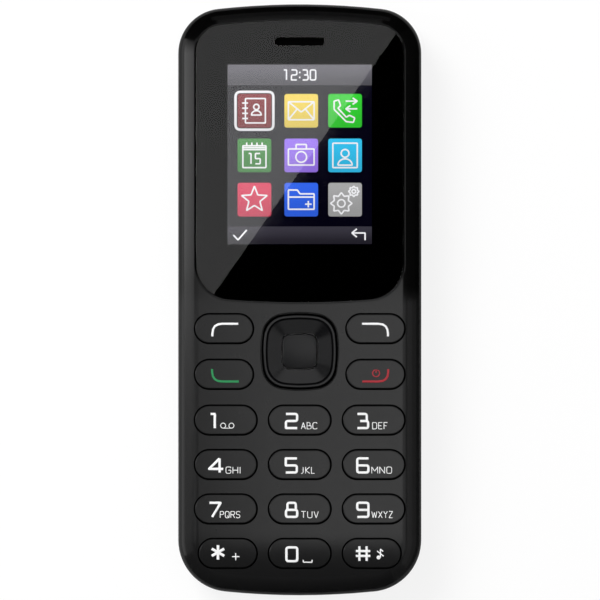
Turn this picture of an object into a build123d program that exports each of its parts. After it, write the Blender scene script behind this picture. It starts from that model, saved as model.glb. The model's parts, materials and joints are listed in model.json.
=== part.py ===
# Bar mobile phone with a keypad, lying on its back: +Z leaves the display, +Y points to the earpiece.
# Millimetres. The origin is the middle of the back, on the surface that the phone lies on.
import os
from math import sqrt

from build123d import *

os.makedirs("parts", exist_ok=True)

# Keys, seen from the front
key_length = 11.93
key_width = 5.55
function_key_trim = 0.7
corner_key_trim = 0.75
column_space = 2.43
row_space = 3.08
function_space = 3.32
number_space = 3.34
soft_key_space = 2.325
key_gap = 0.28
key_travel = 0.3
key_proud = 0.12
key_edge_radius = 0.2
key_flange = 0.5

# Four-way ring and select key
nav_side_space = 2.045
nav_gap = 0.5
nav_bow = 24.0
nav_edge_radius = 0.15
nav_corner = 4.1
nav_flange = 0.8
nav_flange_thickness = 0.5
nav_rise_room = 0.5
nav_skirt = 0.4
nav_skirt_drop = 1.0
rim_width = 0.42
rim_edge_radius = 0.15
rim_rise = 0.15
groove_width = 0.42
groove_depth = 0.45
dish_depth = 0.6
select_half = 3.35
select_corner = 1.3
select_gap = 0.25
select_rise = 0.4
select_dome_radius = 28.0
rocker_half = 5.0
rocker_thickness = 0.25
tilt_room = 0.2

# Outer form
side_margin = 3.325
top_margin = 3.1
bottom_margin = 8.25
end_bow = 145.0
top_corner = 8.7
bottom_corner = 10.1
crown_radius = 600.0
chin_radius = 75.0
front_edge_radius = 4.2
back_edge_radius = 4.0
wall = 1.2
inner_edge_radius = 2.2
fit_gap = 0.15
seam_gap = 0.1

# Display window and display
window_side_margin = 3.45
window_top_bow = 130.0
window_bottom_bow = 180.0
window_top_corner = 5.4
window_bottom_corner = 7.0
window_thickness = 0.8
window_inset = 0.4
window_gap = 0.18
window_edge_radius = 0.15
adhesive_thickness = 0.1
seat_width = 2.4
display_height = 35.04
display_ratio = 0.8
display_view_gap = 0.6
lcd_side_border = 2.2
lcd_top_border = 0.9
lcd_bottom_border = 6.8
lcd_thickness = 1.9
lcd_frame_wall = 0.5
lcd_glass_thickness = 1.0
lcd_gasket_thickness = 0.2
lcd_gasket_width = 0.8
flex_width = 14.0
flex_thickness = 0.15
flex_reach = 3.6
flex_gap = 0.88

# Earpiece
ear_slot_length = 9.65
ear_slot_width = 1.57
ear_drop = 4.2
ear_mesh_border = 0.5
ear_mesh_thickness = 0.3
receiver_length = 12.0
receiver_width = 5.6
receiver_corner = 2.2
receiver_gap = 0.68
receiver_gasket_thickness = 0.3

# Stack from the back to the board
battery_side_margin = 7.65
battery_length = 50.0
battery_thickness = 5.0
battery_corner = 1.2
battery_edge_radius = 0.5
battery_gap = 0.2
battery_lift = 0.15
bay_wall = 0.9
bay_floor = 0.7
bay_center_y = -6.0
rear_wall = 1.0
component_height = 1.9
board_thickness = 0.8
board_gap = 0.15
film_thickness = 0.1
dome_height = 0.2
dome_radius = 2.0
plunger_radius = 1.2
plunger_gap = 0.05
plunger_height = 0.15
mat_thickness = 0.35
mat_inset = 2.2
rest_gap = 0.05
flange_gap = 0.15
front_wall = 2.05

# Ports
jack_bore_radius = 1.8
jack_bore_depth = 13.5
jack_width = 6.2
jack_end_wall = 1.0
jack_collar_wall = 0.5
jack_recess = 0.15
jack_hole_gap = 0.1
jack_x = 9.0
seam_land = 0.4
usb_width = 7.5
usb_height = 2.6
usb_length = 5.6
usb_shell = 0.3
usb_corner = 0.6
usb_tongue_width = 4.2
usb_tongue_thickness = 0.7
usb_tongue_setback = 0.8
usb_hole_gap = 0.35
port_gap = 0.2

# Pieces in the back
camera_x = -10.0
camera_drop = 14.5
camera_size = 8.4
camera_height = 4.6
camera_lens_radius = 2.4
camera_window_radius = 3.3
camera_window_thickness = 0.7
camera_bezel_wall = 0.8
camera_bezel_lip = 0.4
camera_bezel_recess = 0.3
speaker_x = 9.0
speaker_gap = 1.1
speaker_radius = 7.5
speaker_height = 3.2
speaker_mesh_thickness = 0.15
speaker_slot_length = 7.5
speaker_slot_width = 1.0
speaker_slot_pitch = 2.2
speaker_slot_count = 5
motor_x = -13.5
motor_gap = 2.6
motor_radius = 2.0
motor_length = 7.0
shaft_radius = 0.4
weight_inset = 0.2
weight_length = 3.0
weight_gap = 0.4
shaft_gap = 0.05
mic_space = 7.25
mic_radius = 2.0
mic_height = 1.5
mic_boot_wall = 0.7
mic_hole_radius = 0.5
mic_gap = 0.3
antenna_side_gap = 3.3
antenna_depth = 8.0
antenna_height = 4.0
antenna_plate_thickness = 0.2
antenna_slot = 1.0
antenna_slot_count = 3
antenna_setback = 1.0
sim_width = 14.6
sim_length = 19.0
sim_space = 1.8
sim_drop = 2.0
sim_wall = 0.5
card_width = 14.0
card_length = 13.0
part_spacing = 1.0
shield_width = 27.0
shield_length = 13.0
shield_wall = 0.2
part_gap = 0.3
connector_width = 8.0
connector_depth = 2.4
connector_x = -4.0
connector_drop = 5.5
contact_count = 3
contact_pitch = 2.2
contact_width = 1.0
contact_gap = 0.05
contact_height = 2.0
led_length = 1.6
led_width = 0.8
led_height = 0.3
led_hole_gap = 0.3

# Screws
top_screw_side = 6.2
top_screw_drop = 6.6
mid_screw_side = 3.35
mid_screw_gap = 1.0
boss_radius = 1.5
column_wall = 0.35
screw_radius = 0.7
screw_hole_gap = 0.15
pilot_gap = 0.05
screw_head_radius = 1.3
screw_head_height = 0.9
screw_head_gap = 0.2
screw_grip = 2.6
screw_bite = 2.4
nail_notch_radius = 9.0
nail_notch_depth = 0.7

# Plan sizes that follow from the keys, the earpiece and the display
function_key_length = key_length - function_key_trim
corner_key_length = key_length - corner_key_trim
column_pitch = key_length + column_space
row_pitch = key_width + row_space
function_pitch = key_width + function_space
number_offset = key_width + number_space
soft_key_offset = key_width / 2 + soft_key_space
nav_half = column_pitch + key_length / 2 - function_key_length - nav_side_space
display_width = display_ratio * display_height
display_top_margin = ear_drop + receiver_width / 2 + receiver_gap + lcd_top_border
display_bottom_margin = lcd_bottom_border + flex_reach + flex_gap
window_length = display_top_margin + display_height + display_bottom_margin
body_width = 2 * (column_pitch + key_length / 2 + side_margin)
body_length = (
    top_margin
    + window_length
    + soft_key_offset
    + function_pitch
    + number_offset
    + 3 * row_pitch
    + bottom_margin
)
top_y = body_length / 2
bottom_y = -body_length / 2
window_width = body_width - 2 * window_side_margin
window_top_y = top_y - top_margin
window_bottom_y = window_top_y - window_length
soft_key_y = window_bottom_y - soft_key_offset
call_key_y = soft_key_y - function_pitch
row_y = [call_key_y - number_offset - row * row_pitch for row in range(4)]
nav_y = (soft_key_y + call_key_y) / 2
function_key_x = column_pitch + (key_length - function_key_length) / 2
corner_key_x = column_pitch - (key_length - corner_key_length) / 2
chin_y = row_y[3] + row_pitch / 2
display_y = window_top_y - display_top_margin - display_height / 2
ear_y = window_top_y - ear_drop
lcd_top_y = display_y + display_height / 2 + lcd_top_border
lcd_bottom_y = display_y - display_height / 2 - lcd_bottom_border
lcd_y = (lcd_top_y + lcd_bottom_y) / 2
lcd_width = display_width + 2 * lcd_side_border
lcd_length = lcd_top_y - lcd_bottom_y
mat_top_y = window_bottom_y - 2 * key_flange
battery_width = body_width - 2 * battery_side_margin
bay_width = battery_width + 2 * battery_gap
bay_length = battery_length + 2 * battery_gap
bay_top_y = bay_center_y + bay_length / 2
bay_bottom_y = bay_center_y - bay_length / 2

# Levels from the back to the front
battery_z = wall + battery_lift
rear_z = wall + fit_gap
rear_floor_z = rear_z + rear_wall
bay_ceiling_z = battery_z + battery_thickness + battery_gap
bay_top_z = bay_ceiling_z + bay_floor
board_z = bay_top_z + component_height
board_top_z = board_z + board_thickness
film_top_z = board_top_z + film_thickness
dome_top_z = film_top_z + dome_height
plunger_z = dome_top_z + plunger_gap
mat_z = plunger_z + plunger_height
mat_top_z = mat_z + mat_thickness
key_z = mat_top_z + key_travel + rest_gap
ceiling_z = board_top_z + lcd_thickness + lcd_gasket_thickness
key_flange_thickness = ceiling_z - flange_gap - key_z
front_z = ceiling_z + front_wall
window_top_z = front_z - window_inset
window_z = window_top_z - window_thickness
seat_z = window_z - adhesive_thickness
rocker_z = mat_top_z + tilt_room
nav_flange_z = rocker_z + rocker_thickness + tilt_room
nav_flange_top_z = nav_flange_z + nav_flange_thickness
nav_top_z = front_z + key_proud
dish_z = nav_top_z - rim_rise
part_height = component_height - part_gap
jack_collar_radius = jack_bore_radius + jack_collar_wall
jack_height = 2 * jack_collar_radius
jack_z = board_z - jack_height / 2
jack_hole_radius = jack_collar_radius + jack_hole_gap
seam_z = jack_z - jack_hole_radius - seam_land
usb_z = board_z - usb_height / 2
mic_z = board_z - mic_radius - mic_boot_wall
motor_z = rear_floor_z + fit_gap + motor_radius

# Places of the pieces in the back, from the ends of the body and of the battery bay
rear_inset = wall + fit_gap
camera_y = top_y - camera_drop
speaker_y = bay_top_y + bay_wall + speaker_gap + speaker_radius
motor_y = bay_top_y + bay_wall + motor_gap + motor_radius
weight_radius = motor_radius - weight_inset
sim_spacing = sim_width + sim_space
sim_y = bay_top_y - sim_drop - sim_length / 2
card_y = sim_y - (sim_length + card_length) / 2 - part_spacing
shield_y = card_y - (card_length + shield_length) / 2 - part_spacing
antenna_y = bay_bottom_y - bay_wall - antenna_setback - antenna_depth / 2
antenna_width = body_width - 2 * (rear_inset + rear_wall + antenna_side_gap)
camera_bezel_radius = camera_window_radius + camera_bezel_wall
column_radius = screw_head_radius + screw_head_gap + column_wall
mic_x = usb_width / 2 + mic_space
mic_boot_half = mic_radius + mic_boot_wall


def bar_plan(level, width, high_y, low_y, high_bow, low_bow, high_corner, low_corner, grow=0.0):
    """Plan with straight sides, bowed ends and rounded corners, grown outwards by grow."""
    half = width / 2
    high_shoulder = high_y - high_bow + sqrt(high_bow**2 - half**2)
    low_shoulder = low_y + low_bow - sqrt(low_bow**2 - half**2)
    with BuildSketch(Plane.XY.offset(level)) as plan:
        with BuildLine():
            ThreePointArc((-half, high_shoulder), (0, high_y), (half, high_shoulder))
            Line((half, high_shoulder), (half, low_shoulder))
            ThreePointArc((half, low_shoulder), (0, low_y), (-half, low_shoulder))
            Line((-half, low_shoulder), (-half, high_shoulder))
        make_face()
        fillet(plan.vertices().group_by(Axis.Y)[-1], high_corner)
        fillet(plan.vertices().group_by(Axis.Y)[0], low_corner)
        if grow:
            offset(amount=grow)
    return plan.sketch


def body_plan(level, inset=0.0):
    """Plan of the phone's body, drawn in by inset."""
    return bar_plan(
        level, body_width, top_y, bottom_y, end_bow, end_bow, top_corner, bottom_corner, -inset
    )


def window_plan(level, grow=0.0):
    """Plan of the display window, grown outwards by grow."""
    return bar_plan(
        level,
        window_width,
        window_top_y,
        window_bottom_y,
        window_top_bow,
        window_bottom_bow,
        window_top_corner,
        window_bottom_corner,
        grow,
    )


def nav_plan(level, half, corner):
    """Square with four bowed sides and rounded corners, round the middle of the four-way ring."""
    spare = nav_bow - half
    reach = (sqrt(2 * nav_bow**2 - spare**2) - spare) / 2
    with BuildSketch(Plane((0, nav_y, level))) as plan:
        with BuildLine():
            ThreePointArc((-reach, reach), (0, half), (reach, reach))
            ThreePointArc((reach, reach), (half, 0), (reach, -reach))
            ThreePointArc((reach, -reach), (0, -half), (-reach, -reach))
            ThreePointArc((-reach, -reach), (-half, 0), (-reach, reach))
        make_face()
        fillet(plan.vertices(), corner)
    return plan.sketch


def ring_plan(level, inset):
    """Plan of the four-way ring, drawn in by inset with its corners in step."""
    return nav_plan(level, nav_half - inset, nav_corner - inset / 2)


def crowned_block(rise):
    """Everything below the crowned front, which bends down over the chin, lifted by rise."""
    half = body_width
    top = front_z + rise
    edge = top - crown_radius + sqrt(crown_radius**2 - half**2)
    with BuildSketch(Plane.XZ.offset(-chin_y)) as section:
        with BuildLine():
            ThreePointArc((-half, edge), (0, top), (half, edge))
            Polyline((half, edge), (half, -wall), (-half, -wall), (-half, edge))
        make_face()
    with BuildPart() as block:
        extrude(section.sketch, amount=-body_length)
        revolve(
            section.sketch,
            axis=Axis((0, chin_y, top - chin_radius), (1, 0, 0)),
            revolution_arc=30,
        )
    return block.part


def inner_block(inset, low, high):
    """Room inside the body between two levels, with its upper edge rounded like the front's."""
    with BuildPart() as block:
        extrude(body_plan(low, inset), amount=high - low)
        fillet(block.faces().sort_by(Axis.Z)[-1].edges(), inner_edge_radius)
    return block.part


def tray_block(inset, low, high):
    """Room or block inside the body between two levels, with its lower edge rounded like the back's."""
    with BuildPart() as block:
        extrude(body_plan(low, inset), amount=high - low)
        fillet(block.faces().sort_by(Axis.Z)[0].edges(), back_edge_radius - inset)
    return block.part


def end_sag(x):
    """How far the bowed end has fallen back at a distance x from the middle."""
    return end_bow - sqrt(end_bow**2 - x**2)


def finish(piece, name):
    """Labels a finished piece and writes it."""
    piece.part.label = name
    export_step(piece.part, f"parts/{name}.step")


# Keys by name, with the middle and the length of each
key_places = {
    "softkey_left": (-function_key_x, soft_key_y, function_key_length),
    "softkey_right": (function_key_x, soft_key_y, function_key_length),
    "call_key": (-function_key_x, call_key_y, function_key_length),
    "end_key": (function_key_x, call_key_y, function_key_length),
}
for number in range(9):
    row, column = divmod(number, 3)
    key_places[f"key_{number + 1}"] = ((column - 1) * column_pitch, row_y[row], key_length)
key_places["key_star"] = (-corner_key_x, row_y[3], corner_key_length)
key_places["key_0"] = (0, row_y[3], key_length)
key_places["key_hash"] = (corner_key_x, row_y[3], corner_key_length)

# Screws: two beside the earpiece and two beside the foot of the display
mid_screw_y = lcd_bottom_y - boss_radius - mid_screw_gap
screw_places = [
    (side * (body_width / 2 - inset), y)
    for inset, y in ((top_screw_side, top_y - top_screw_drop), (mid_screw_side, mid_screw_y))
    for side in (-1, 1)
]
screw_seat_z = board_z - screw_grip

# Outer form of the closed phone: both housings are cut from it
crown = crowned_block(0)
with BuildPart() as body_form:
    extrude(body_plan(0), amount=front_z + wall)
    add(crown, mode=Mode.INTERSECT)
    rim = body_form.edges().filter_by(Axis.Z, reverse=True).filter_by(lambda edge: edge.center().Z > wall)
    fillet(rim.filter_by(lambda edge: abs(edge.center().Y - chin_y) > fit_gap), front_edge_radius)
    fillet(body_form.faces().sort_by(Axis.Z)[0].edges(), back_edge_radius)

# Front housing: shell with the window's seat, the key openings, the ports and the screw bosses
front_cavity = inner_block(wall, 0, ceiling_z)
nav_room = nav_plan(
    ceiling_z - flange_gap,
    nav_half + nav_flange + nav_gap,
    nav_corner + nav_flange + nav_gap,
)
with BuildPart() as front_housing:
    add(body_form.part)
    split(bisect_by=Plane.XY.offset(seam_z), keep=Keep.TOP)
    add(front_cavity, mode=Mode.SUBTRACT)
    extrude(window_plan(seat_z, window_gap), amount=front_z, mode=Mode.SUBTRACT)
    recess_walls = front_housing.faces(Select.LAST).filter_by(lambda face: abs(face.normal_at().Z) < 0.01)
    recess_rim = recess_walls.edges().filter_by(lambda edge: edge.bounding_box().min.Z > window_z)
    fillet(recess_rim, window_edge_radius)
    with BuildSketch(Plane.XY.offset(ceiling_z - fit_gap)):
        with Locations((0, display_y)):
            Rectangle(display_width + 2 * display_view_gap, display_height + 2 * display_view_gap)
        with Locations((0, ear_y)):
            SlotOverall(ear_slot_length, ear_slot_width)
    extrude(amount=front_z, mode=Mode.SUBTRACT)
    with BuildSketch(Plane.XY.offset(seat_z - ear_mesh_thickness)):
        with Locations((0, ear_y)):
            SlotOverall(ear_slot_length + 2 * ear_mesh_border, ear_slot_width + 2 * ear_mesh_border)
    extrude(amount=front_z, mode=Mode.SUBTRACT)
    with BuildSketch(Plane.XY.offset(ceiling_z - fit_gap)):
        for x, y, length in key_places.values():
            with Locations((x, y)):
                SlotOverall(length + 2 * key_gap, key_width + 2 * key_gap)
    extrude(amount=front_z, mode=Mode.SUBTRACT)
    extrude(nav_room, amount=nav_flange_top_z + nav_rise_room - ceiling_z + flange_gap, mode=Mode.SUBTRACT)
    extrude(
        nav_plan(ceiling_z, nav_half + nav_gap, nav_corner + nav_gap),
        amount=front_z,
        mode=Mode.SUBTRACT,
    )
    nav_walls = front_housing.faces(Select.LAST).filter_by(lambda face: abs(face.normal_at().Z) < 0.01)
    nav_rim = nav_walls.edges().filter_by(lambda edge: edge.bounding_box().min.Z > window_z)
    fillet(nav_rim, nav_edge_radius)
    with BuildSketch(Plane.XY.offset(board_z)):
        with Locations(*screw_places):
            Circle(boss_radius)
    extrude(amount=ceiling_z - board_z + fit_gap)
    with BuildSketch(Plane.XY.offset(board_z)):
        with Locations(*screw_places):
            Circle(screw_radius + pilot_gap)
    extrude(amount=screw_bite + pilot_gap, mode=Mode.SUBTRACT)
    with BuildSketch(Plane.XZ.offset(-top_y - wall)):
        with Locations((jack_x, jack_z)):
            Circle(jack_hole_radius)
    extrude(amount=3 * wall, mode=Mode.SUBTRACT)
    with BuildSketch(Plane.XZ.offset(-bottom_y + wall)):
        with Locations((0, usb_z)):
            RectangleRounded(
                usb_width + 2 * usb_hole_gap,
                usb_height + 2 * usb_hole_gap,
                usb_corner + usb_hole_gap,
            )
        with Locations((mic_x, mic_z)):
            Circle(mic_hole_radius)
    extrude(amount=-3 * wall, mode=Mode.SUBTRACT)
finish(front_housing, "front_housing")

# Display window: a flat pane with the earpiece slot
with BuildPart() as display_window:
    extrude(window_plan(window_z), amount=window_thickness)
    fillet(display_window.faces().sort_by(Axis.Z)[-1].edges(), window_edge_radius)
    with BuildSketch(Plane.XY.offset(window_z)):
        with Locations((0, ear_y)):
            SlotOverall(ear_slot_length, ear_slot_width)
    extrude(amount=window_thickness, mode=Mode.SUBTRACT)
finish(display_window, "display_window")

# Adhesive frame between the window and its seat
with BuildPart() as window_adhesive:
    extrude(window_plan(seat_z), amount=adhesive_thickness)
    with BuildSketch(Plane.XY.offset(seat_z)):
        with Locations((0, display_y)):
            Rectangle(display_width + 2 * seat_width, display_height + 2 * seat_width)
        with Locations((0, ear_y)):
            SlotOverall(ear_slot_length + 2 * ear_mesh_border, ear_slot_width + 2 * ear_mesh_border)
    extrude(amount=adhesive_thickness, mode=Mode.SUBTRACT)
finish(window_adhesive, "window_adhesive")

# Earpiece: mesh under the window's slot, receiver on the board and the gasket between
with BuildPart() as earpiece_mesh:
    with BuildSketch(Plane.XY.offset(seat_z - ear_mesh_thickness)):
        with Locations((0, ear_y)):
            SlotOverall(
                ear_slot_length + 2 * ear_mesh_border - fit_gap,
                ear_slot_width + 2 * ear_mesh_border - fit_gap,
            )
    extrude(amount=ear_mesh_thickness)
finish(earpiece_mesh, "earpiece_mesh")

receiver_top_z = ceiling_z - receiver_gasket_thickness
with BuildPart() as earpiece_receiver:
    with BuildSketch(Plane.XY.offset(board_top_z)):
        with Locations((0, ear_y)):
            RectangleRounded(receiver_length, receiver_width, receiver_corner)
    extrude(amount=receiver_top_z - board_top_z)
    chamfer(earpiece_receiver.faces().sort_by(Axis.Z)[-1].edges(), receiver_gasket_thickness)
finish(earpiece_receiver, "earpiece_receiver")

with BuildPart() as receiver_gasket:
    with BuildSketch(Plane.XY.offset(receiver_top_z)):
        with Locations((0, ear_y)):
            RectangleRounded(
                receiver_length - 2 * receiver_gasket_thickness,
                receiver_width - 2 * receiver_gasket_thickness,
                receiver_corner - receiver_gasket_thickness,
            )
            SlotOverall(ear_slot_length, ear_slot_width, mode=Mode.SUBTRACT)
    extrude(amount=receiver_gasket_thickness)
finish(receiver_gasket, "receiver_gasket")

# Display: frame with its backlight tray, glass panel, gasket under the window's seat and flex
lcd_top_z = board_top_z + lcd_thickness
with BuildPart() as lcd_frame:
    with BuildSketch(Plane.XY.offset(board_top_z)):
        with Locations((0, lcd_y)):
            RectangleRounded(lcd_width, lcd_length, lcd_frame_wall)
    extrude(amount=lcd_thickness)
    with BuildSketch(Plane.XY.offset(lcd_top_z - lcd_glass_thickness)):
        with Locations((0, lcd_y)):
            Rectangle(lcd_width - 2 * lcd_frame_wall, lcd_length - 2 * lcd_frame_wall)
    extrude(amount=lcd_glass_thickness, mode=Mode.SUBTRACT)
finish(lcd_frame, "lcd_frame")

with BuildPart() as lcd_panel:
    with BuildSketch(Plane.XY.offset(lcd_top_z - lcd_glass_thickness)):
        with Locations((0, lcd_y)):
            Rectangle(
                lcd_width - 2 * lcd_frame_wall - fit_gap,
                lcd_length - 2 * lcd_frame_wall - fit_gap,
            )
    extrude(amount=lcd_glass_thickness)
finish(lcd_panel, "lcd_panel")

with BuildPart() as lcd_gasket:
    with BuildSketch(Plane.XY.offset(lcd_top_z)):
        with Locations((0, display_y)):
            Rectangle(
                display_width + 2 * (display_view_gap + lcd_gasket_width),
                display_height + 2 * (display_view_gap + lcd_gasket_width),
            )
            Rectangle(
                display_width + 2 * display_view_gap,
                display_height + 2 * display_view_gap,
                mode=Mode.SUBTRACT,
            )
        with Locations((0, lcd_y)):
            Rectangle(lcd_width, lcd_length, mode=Mode.INTERSECT)
    extrude(amount=lcd_gasket_thickness)
finish(lcd_gasket, "lcd_gasket")

flex_z = board_top_z + lcd_thickness / 2
with BuildPart() as lcd_flex:
    with BuildSketch(Plane.YZ.offset(-flex_width / 2)):
        with BuildLine():
            FilletPolyline(
                (lcd_bottom_y - flex_thickness / 2, flex_z),
                (lcd_bottom_y - flex_reach / 2, flex_z),
                (lcd_bottom_y - flex_reach / 2, board_top_z + flex_thickness / 2),
                (lcd_bottom_y - flex_reach, board_top_z + flex_thickness / 2),
                radius=2 * flex_thickness,
            )
        trace(line_width=flex_thickness)
    extrude(amount=flex_width)
finish(lcd_flex, "lcd_flex")

# Main board, resting on the rear housing's rim, with holes for the screw bosses
with BuildPart() as main_board:
    extrude(body_plan(board_z, wall + fit_gap + board_gap), amount=board_thickness)
    with BuildSketch(Plane.XY.offset(board_z)):
        with Locations(*screw_places):
            Circle(boss_radius + board_gap)
    extrude(amount=board_thickness, mode=Mode.SUBTRACT)
finish(main_board, "main_board")

# Dome sheet: one film with a snap dome under every key and under each side of the four-way ring
nav_dome_reach = rocker_half - dome_radius / 2
dome_places = [(x, y) for x, y, length in key_places.values()]
dome_places += [(0, nav_y), (0, nav_y + nav_dome_reach), (0, nav_y - nav_dome_reach)]
dome_places += [(-nav_dome_reach, nav_y), (nav_dome_reach, nav_y)]
dome_sphere = (dome_radius**2 + dome_height**2) / (2 * dome_height)
led_places = [(side * column_pitch / 2, (row_y[n] + row_y[n + 1]) / 2) for n in (0, 2) for side in (-1, 1)]
with BuildSketch(Plane.XZ) as dome_section:
    with BuildLine():
        Line((0, 0), (dome_radius, 0))
        RadiusArc((dome_radius, 0), (0, dome_height), -dome_sphere)
        Line((0, dome_height), (0, 0))
    make_face()
with BuildPart() as dome:
    revolve(dome_section.sketch, axis=Axis.Z)
with BuildSketch(Plane.XY.offset(board_top_z)) as keypad_plan:
    add(body_plan(board_top_z, mat_inset))
    with Locations((0, mat_top_y)):
        Rectangle(body_width, body_length, align=(Align.CENTER, Align.MAX), mode=Mode.INTERSECT)
with BuildPart() as dome_sheet:
    extrude(keypad_plan.sketch, amount=film_thickness)
    with BuildSketch(Plane.XY.offset(board_top_z)):
        with Locations(*led_places):
            Rectangle(led_length + 2 * led_hole_gap, led_width + 2 * led_hole_gap)
    extrude(amount=film_thickness, mode=Mode.SUBTRACT)
    with Locations(*[(x, y, film_top_z) for x, y in dome_places]):
        add(dome.part)
finish(dome_sheet, "dome_sheet")

with BuildPart() as key_leds:
    with BuildSketch(Plane.XY.offset(board_top_z)):
        with Locations(*led_places):
            Rectangle(led_length, led_width)
    extrude(amount=led_height)
finish(key_leds, "key_leds")

# Key mat: a rubber web with a plunger over every dome
with BuildPart() as keymat:
    extrude(keypad_plan.sketch.moved(Location((0, 0, mat_z - board_top_z))), amount=mat_thickness)
    with BuildSketch(Plane.XY.offset(plunger_z)):
        with Locations(*dome_places):
            Circle(plunger_radius)
    extrude(amount=plunger_height)
finish(keymat, "keymat")

# Keys: capsule caps cut to the crowned front, each with a flange that stays behind the housing
key_crown = crowned_block(key_proud)
for name, (x, y, length) in key_places.items():
    with BuildPart() as key_cap:
        with BuildSketch(Plane.XY.offset(key_z)):
            with Locations((x, y)):
                SlotOverall(length, key_width)
        extrude(amount=front_z)
        add(key_crown, mode=Mode.INTERSECT)
        fillet(key_cap.faces().sort_by(Axis.Z)[-1].edges(), key_edge_radius)
        with BuildSketch(Plane.XY.offset(key_z)):
            with Locations((x, y)):
                SlotOverall(length + 2 * key_flange, key_width + 2 * key_flange)
        extrude(amount=key_flange_thickness)
    finish(key_cap, name)

# Rocker plate: carries the four-way ring round the select key
with BuildPart() as nav_rocker:
    extrude(nav_plan(rocker_z, rocker_half, select_corner + select_gap), amount=rocker_thickness)
    extrude(
        nav_plan(rocker_z, select_half + 2 * select_gap, select_corner),
        amount=rocker_thickness,
        mode=Mode.SUBTRACT,
    )
finish(nav_rocker, "nav_rocker")

# Four-way ring: sloped skirt, raised rim, V groove and a dish that falls towards the select key
groove_inset = rim_width + groove_width
groove_middle = rim_width + groove_width / 2
groove_z = nav_top_z - groove_depth
select_hole = select_half + select_gap
with BuildPart() as nav_ring:
    extrude(ring_plan(nav_flange_z, 0), amount=nav_top_z - nav_flange_z)
    fillet(nav_ring.faces().sort_by(Axis.Z)[-1].edges(), rim_edge_radius)
    extrude(ring_plan(nav_flange_z, -nav_flange), amount=nav_flange_thickness)
    loft([ring_plan(nav_flange_top_z, -nav_skirt), ring_plan(nav_top_z - nav_skirt_drop, 0)])
    loft([ring_plan(groove_z, groove_middle), ring_plan(nav_top_z, rim_width)], mode=Mode.SUBTRACT)
    loft([ring_plan(groove_z, groove_middle), ring_plan(dish_z, groove_inset)])
    loft(
        [
            ring_plan(dish_z, groove_inset),
            nav_plan(dish_z - dish_depth, select_hole, select_corner + select_gap),
        ],
        mode=Mode.SUBTRACT,
    )
    extrude(
        nav_plan(nav_flange_z, select_hole, select_corner + select_gap),
        amount=front_z,
        mode=Mode.SUBTRACT,
    )
finish(nav_ring, "nav_ring")

# Select key: rounded square with a domed top
select_top_z = dish_z - dish_depth + select_rise
with BuildPart() as select_key:
    extrude(nav_plan(key_z, select_half, select_corner), amount=front_z)
    with Locations((0, nav_y, select_top_z - select_dome_radius)):
        Sphere(select_dome_radius, mode=Mode.INTERSECT)
    fillet(select_key.faces().sort_by(Axis.Z)[-1].edges(), key_edge_radius)
finish(select_key, "select_key")

# Rear housing: tray with the battery bay, the screw columns and the openings of the ports
rear_block = tray_block(rear_inset, rear_z, board_z)
rear_room = tray_block(rear_inset + rear_wall, rear_floor_z, board_z + wall)
with BuildPart() as screw_columns:
    with BuildSketch(Plane.XY.offset(rear_z)):
        with Locations(*screw_places):
            Circle(column_radius)
    extrude(amount=board_z - rear_z)
    add(rear_block, mode=Mode.INTERSECT)
with BuildPart() as rear_housing:
    add(rear_block)
    add(rear_room, mode=Mode.SUBTRACT)
    with BuildSketch(Plane.XY.offset(rear_z)):
        with Locations((0, bay_center_y)):
            RectangleRounded(
                bay_width + 2 * bay_wall,
                bay_length + 2 * bay_wall,
                battery_corner + battery_gap + bay_wall,
            )
    extrude(amount=bay_top_z - rear_z)
    with BuildSketch(Plane.XY.offset(rear_z)):
        with Locations((0, bay_center_y)):
            RectangleRounded(bay_width, bay_length, battery_corner + battery_gap)
    extrude(amount=bay_ceiling_z - rear_z, mode=Mode.SUBTRACT)
    add(screw_columns.part)
    with BuildSketch(Plane.XY.offset(rear_z)):
        with Locations(*screw_places):
            Circle(screw_radius + screw_hole_gap)
    extrude(amount=board_z - rear_z, mode=Mode.SUBTRACT)
    with BuildSketch(Plane.XY.offset(rear_z)):
        with Locations(*screw_places):
            Circle(screw_head_radius + screw_head_gap)
    extrude(amount=screw_seat_z - rear_z, mode=Mode.SUBTRACT)
    with BuildSketch(Plane.XY.offset(bay_ceiling_z)):
        with Locations((-sim_spacing / 2, sim_y), (sim_spacing / 2, sim_y)):
            Rectangle(sim_width - 2 * sim_wall, sim_length - 2 * sim_wall)
        with Locations((0, card_y)):
            Rectangle(card_width - 2 * sim_wall, card_length - 2 * sim_wall)
    extrude(amount=bay_floor, mode=Mode.SUBTRACT)
    with BuildSketch(Plane.XY.offset(board_z - connector_drop - port_gap)):
        with Locations((connector_x, bay_top_y)):
            Rectangle(
                connector_width + 2 * port_gap,
                2 * (connector_depth + port_gap),
            )
    extrude(amount=connector_drop, mode=Mode.SUBTRACT)
    with BuildSketch(Plane.XZ.offset(-top_y)):
        with Locations((jack_x, board_z)):
            Rectangle(
                2 * (jack_collar_radius + port_gap),
                jack_height / 2 + jack_collar_radius + port_gap,
                align=(Align.CENTER, Align.MAX),
            )
    extrude(amount=rear_inset + 2 * rear_wall, mode=Mode.SUBTRACT)
    with BuildSketch(Plane.XZ.offset(-bottom_y)):
        with Locations((0, board_z)):
            Rectangle(
                usb_width + 2 * port_gap,
                usb_height + port_gap,
                align=(Align.CENTER, Align.MAX),
            )
        with Locations((mic_x, mic_z)):
            Circle(mic_hole_radius)
    extrude(amount=-rear_inset - 2 * rear_wall, mode=Mode.SUBTRACT)
    with BuildSketch(Plane.XY.offset(rear_z)):
        with Locations((camera_x, camera_y)):
            Circle(camera_bezel_radius + shaft_gap)
        with Locations((speaker_x, speaker_y)):
            with GridLocations(0, speaker_slot_pitch, 1, speaker_slot_count):
                SlotOverall(speaker_slot_length, speaker_slot_width)
    extrude(amount=rear_wall, mode=Mode.SUBTRACT)
finish(rear_housing, "rear_housing")

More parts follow.
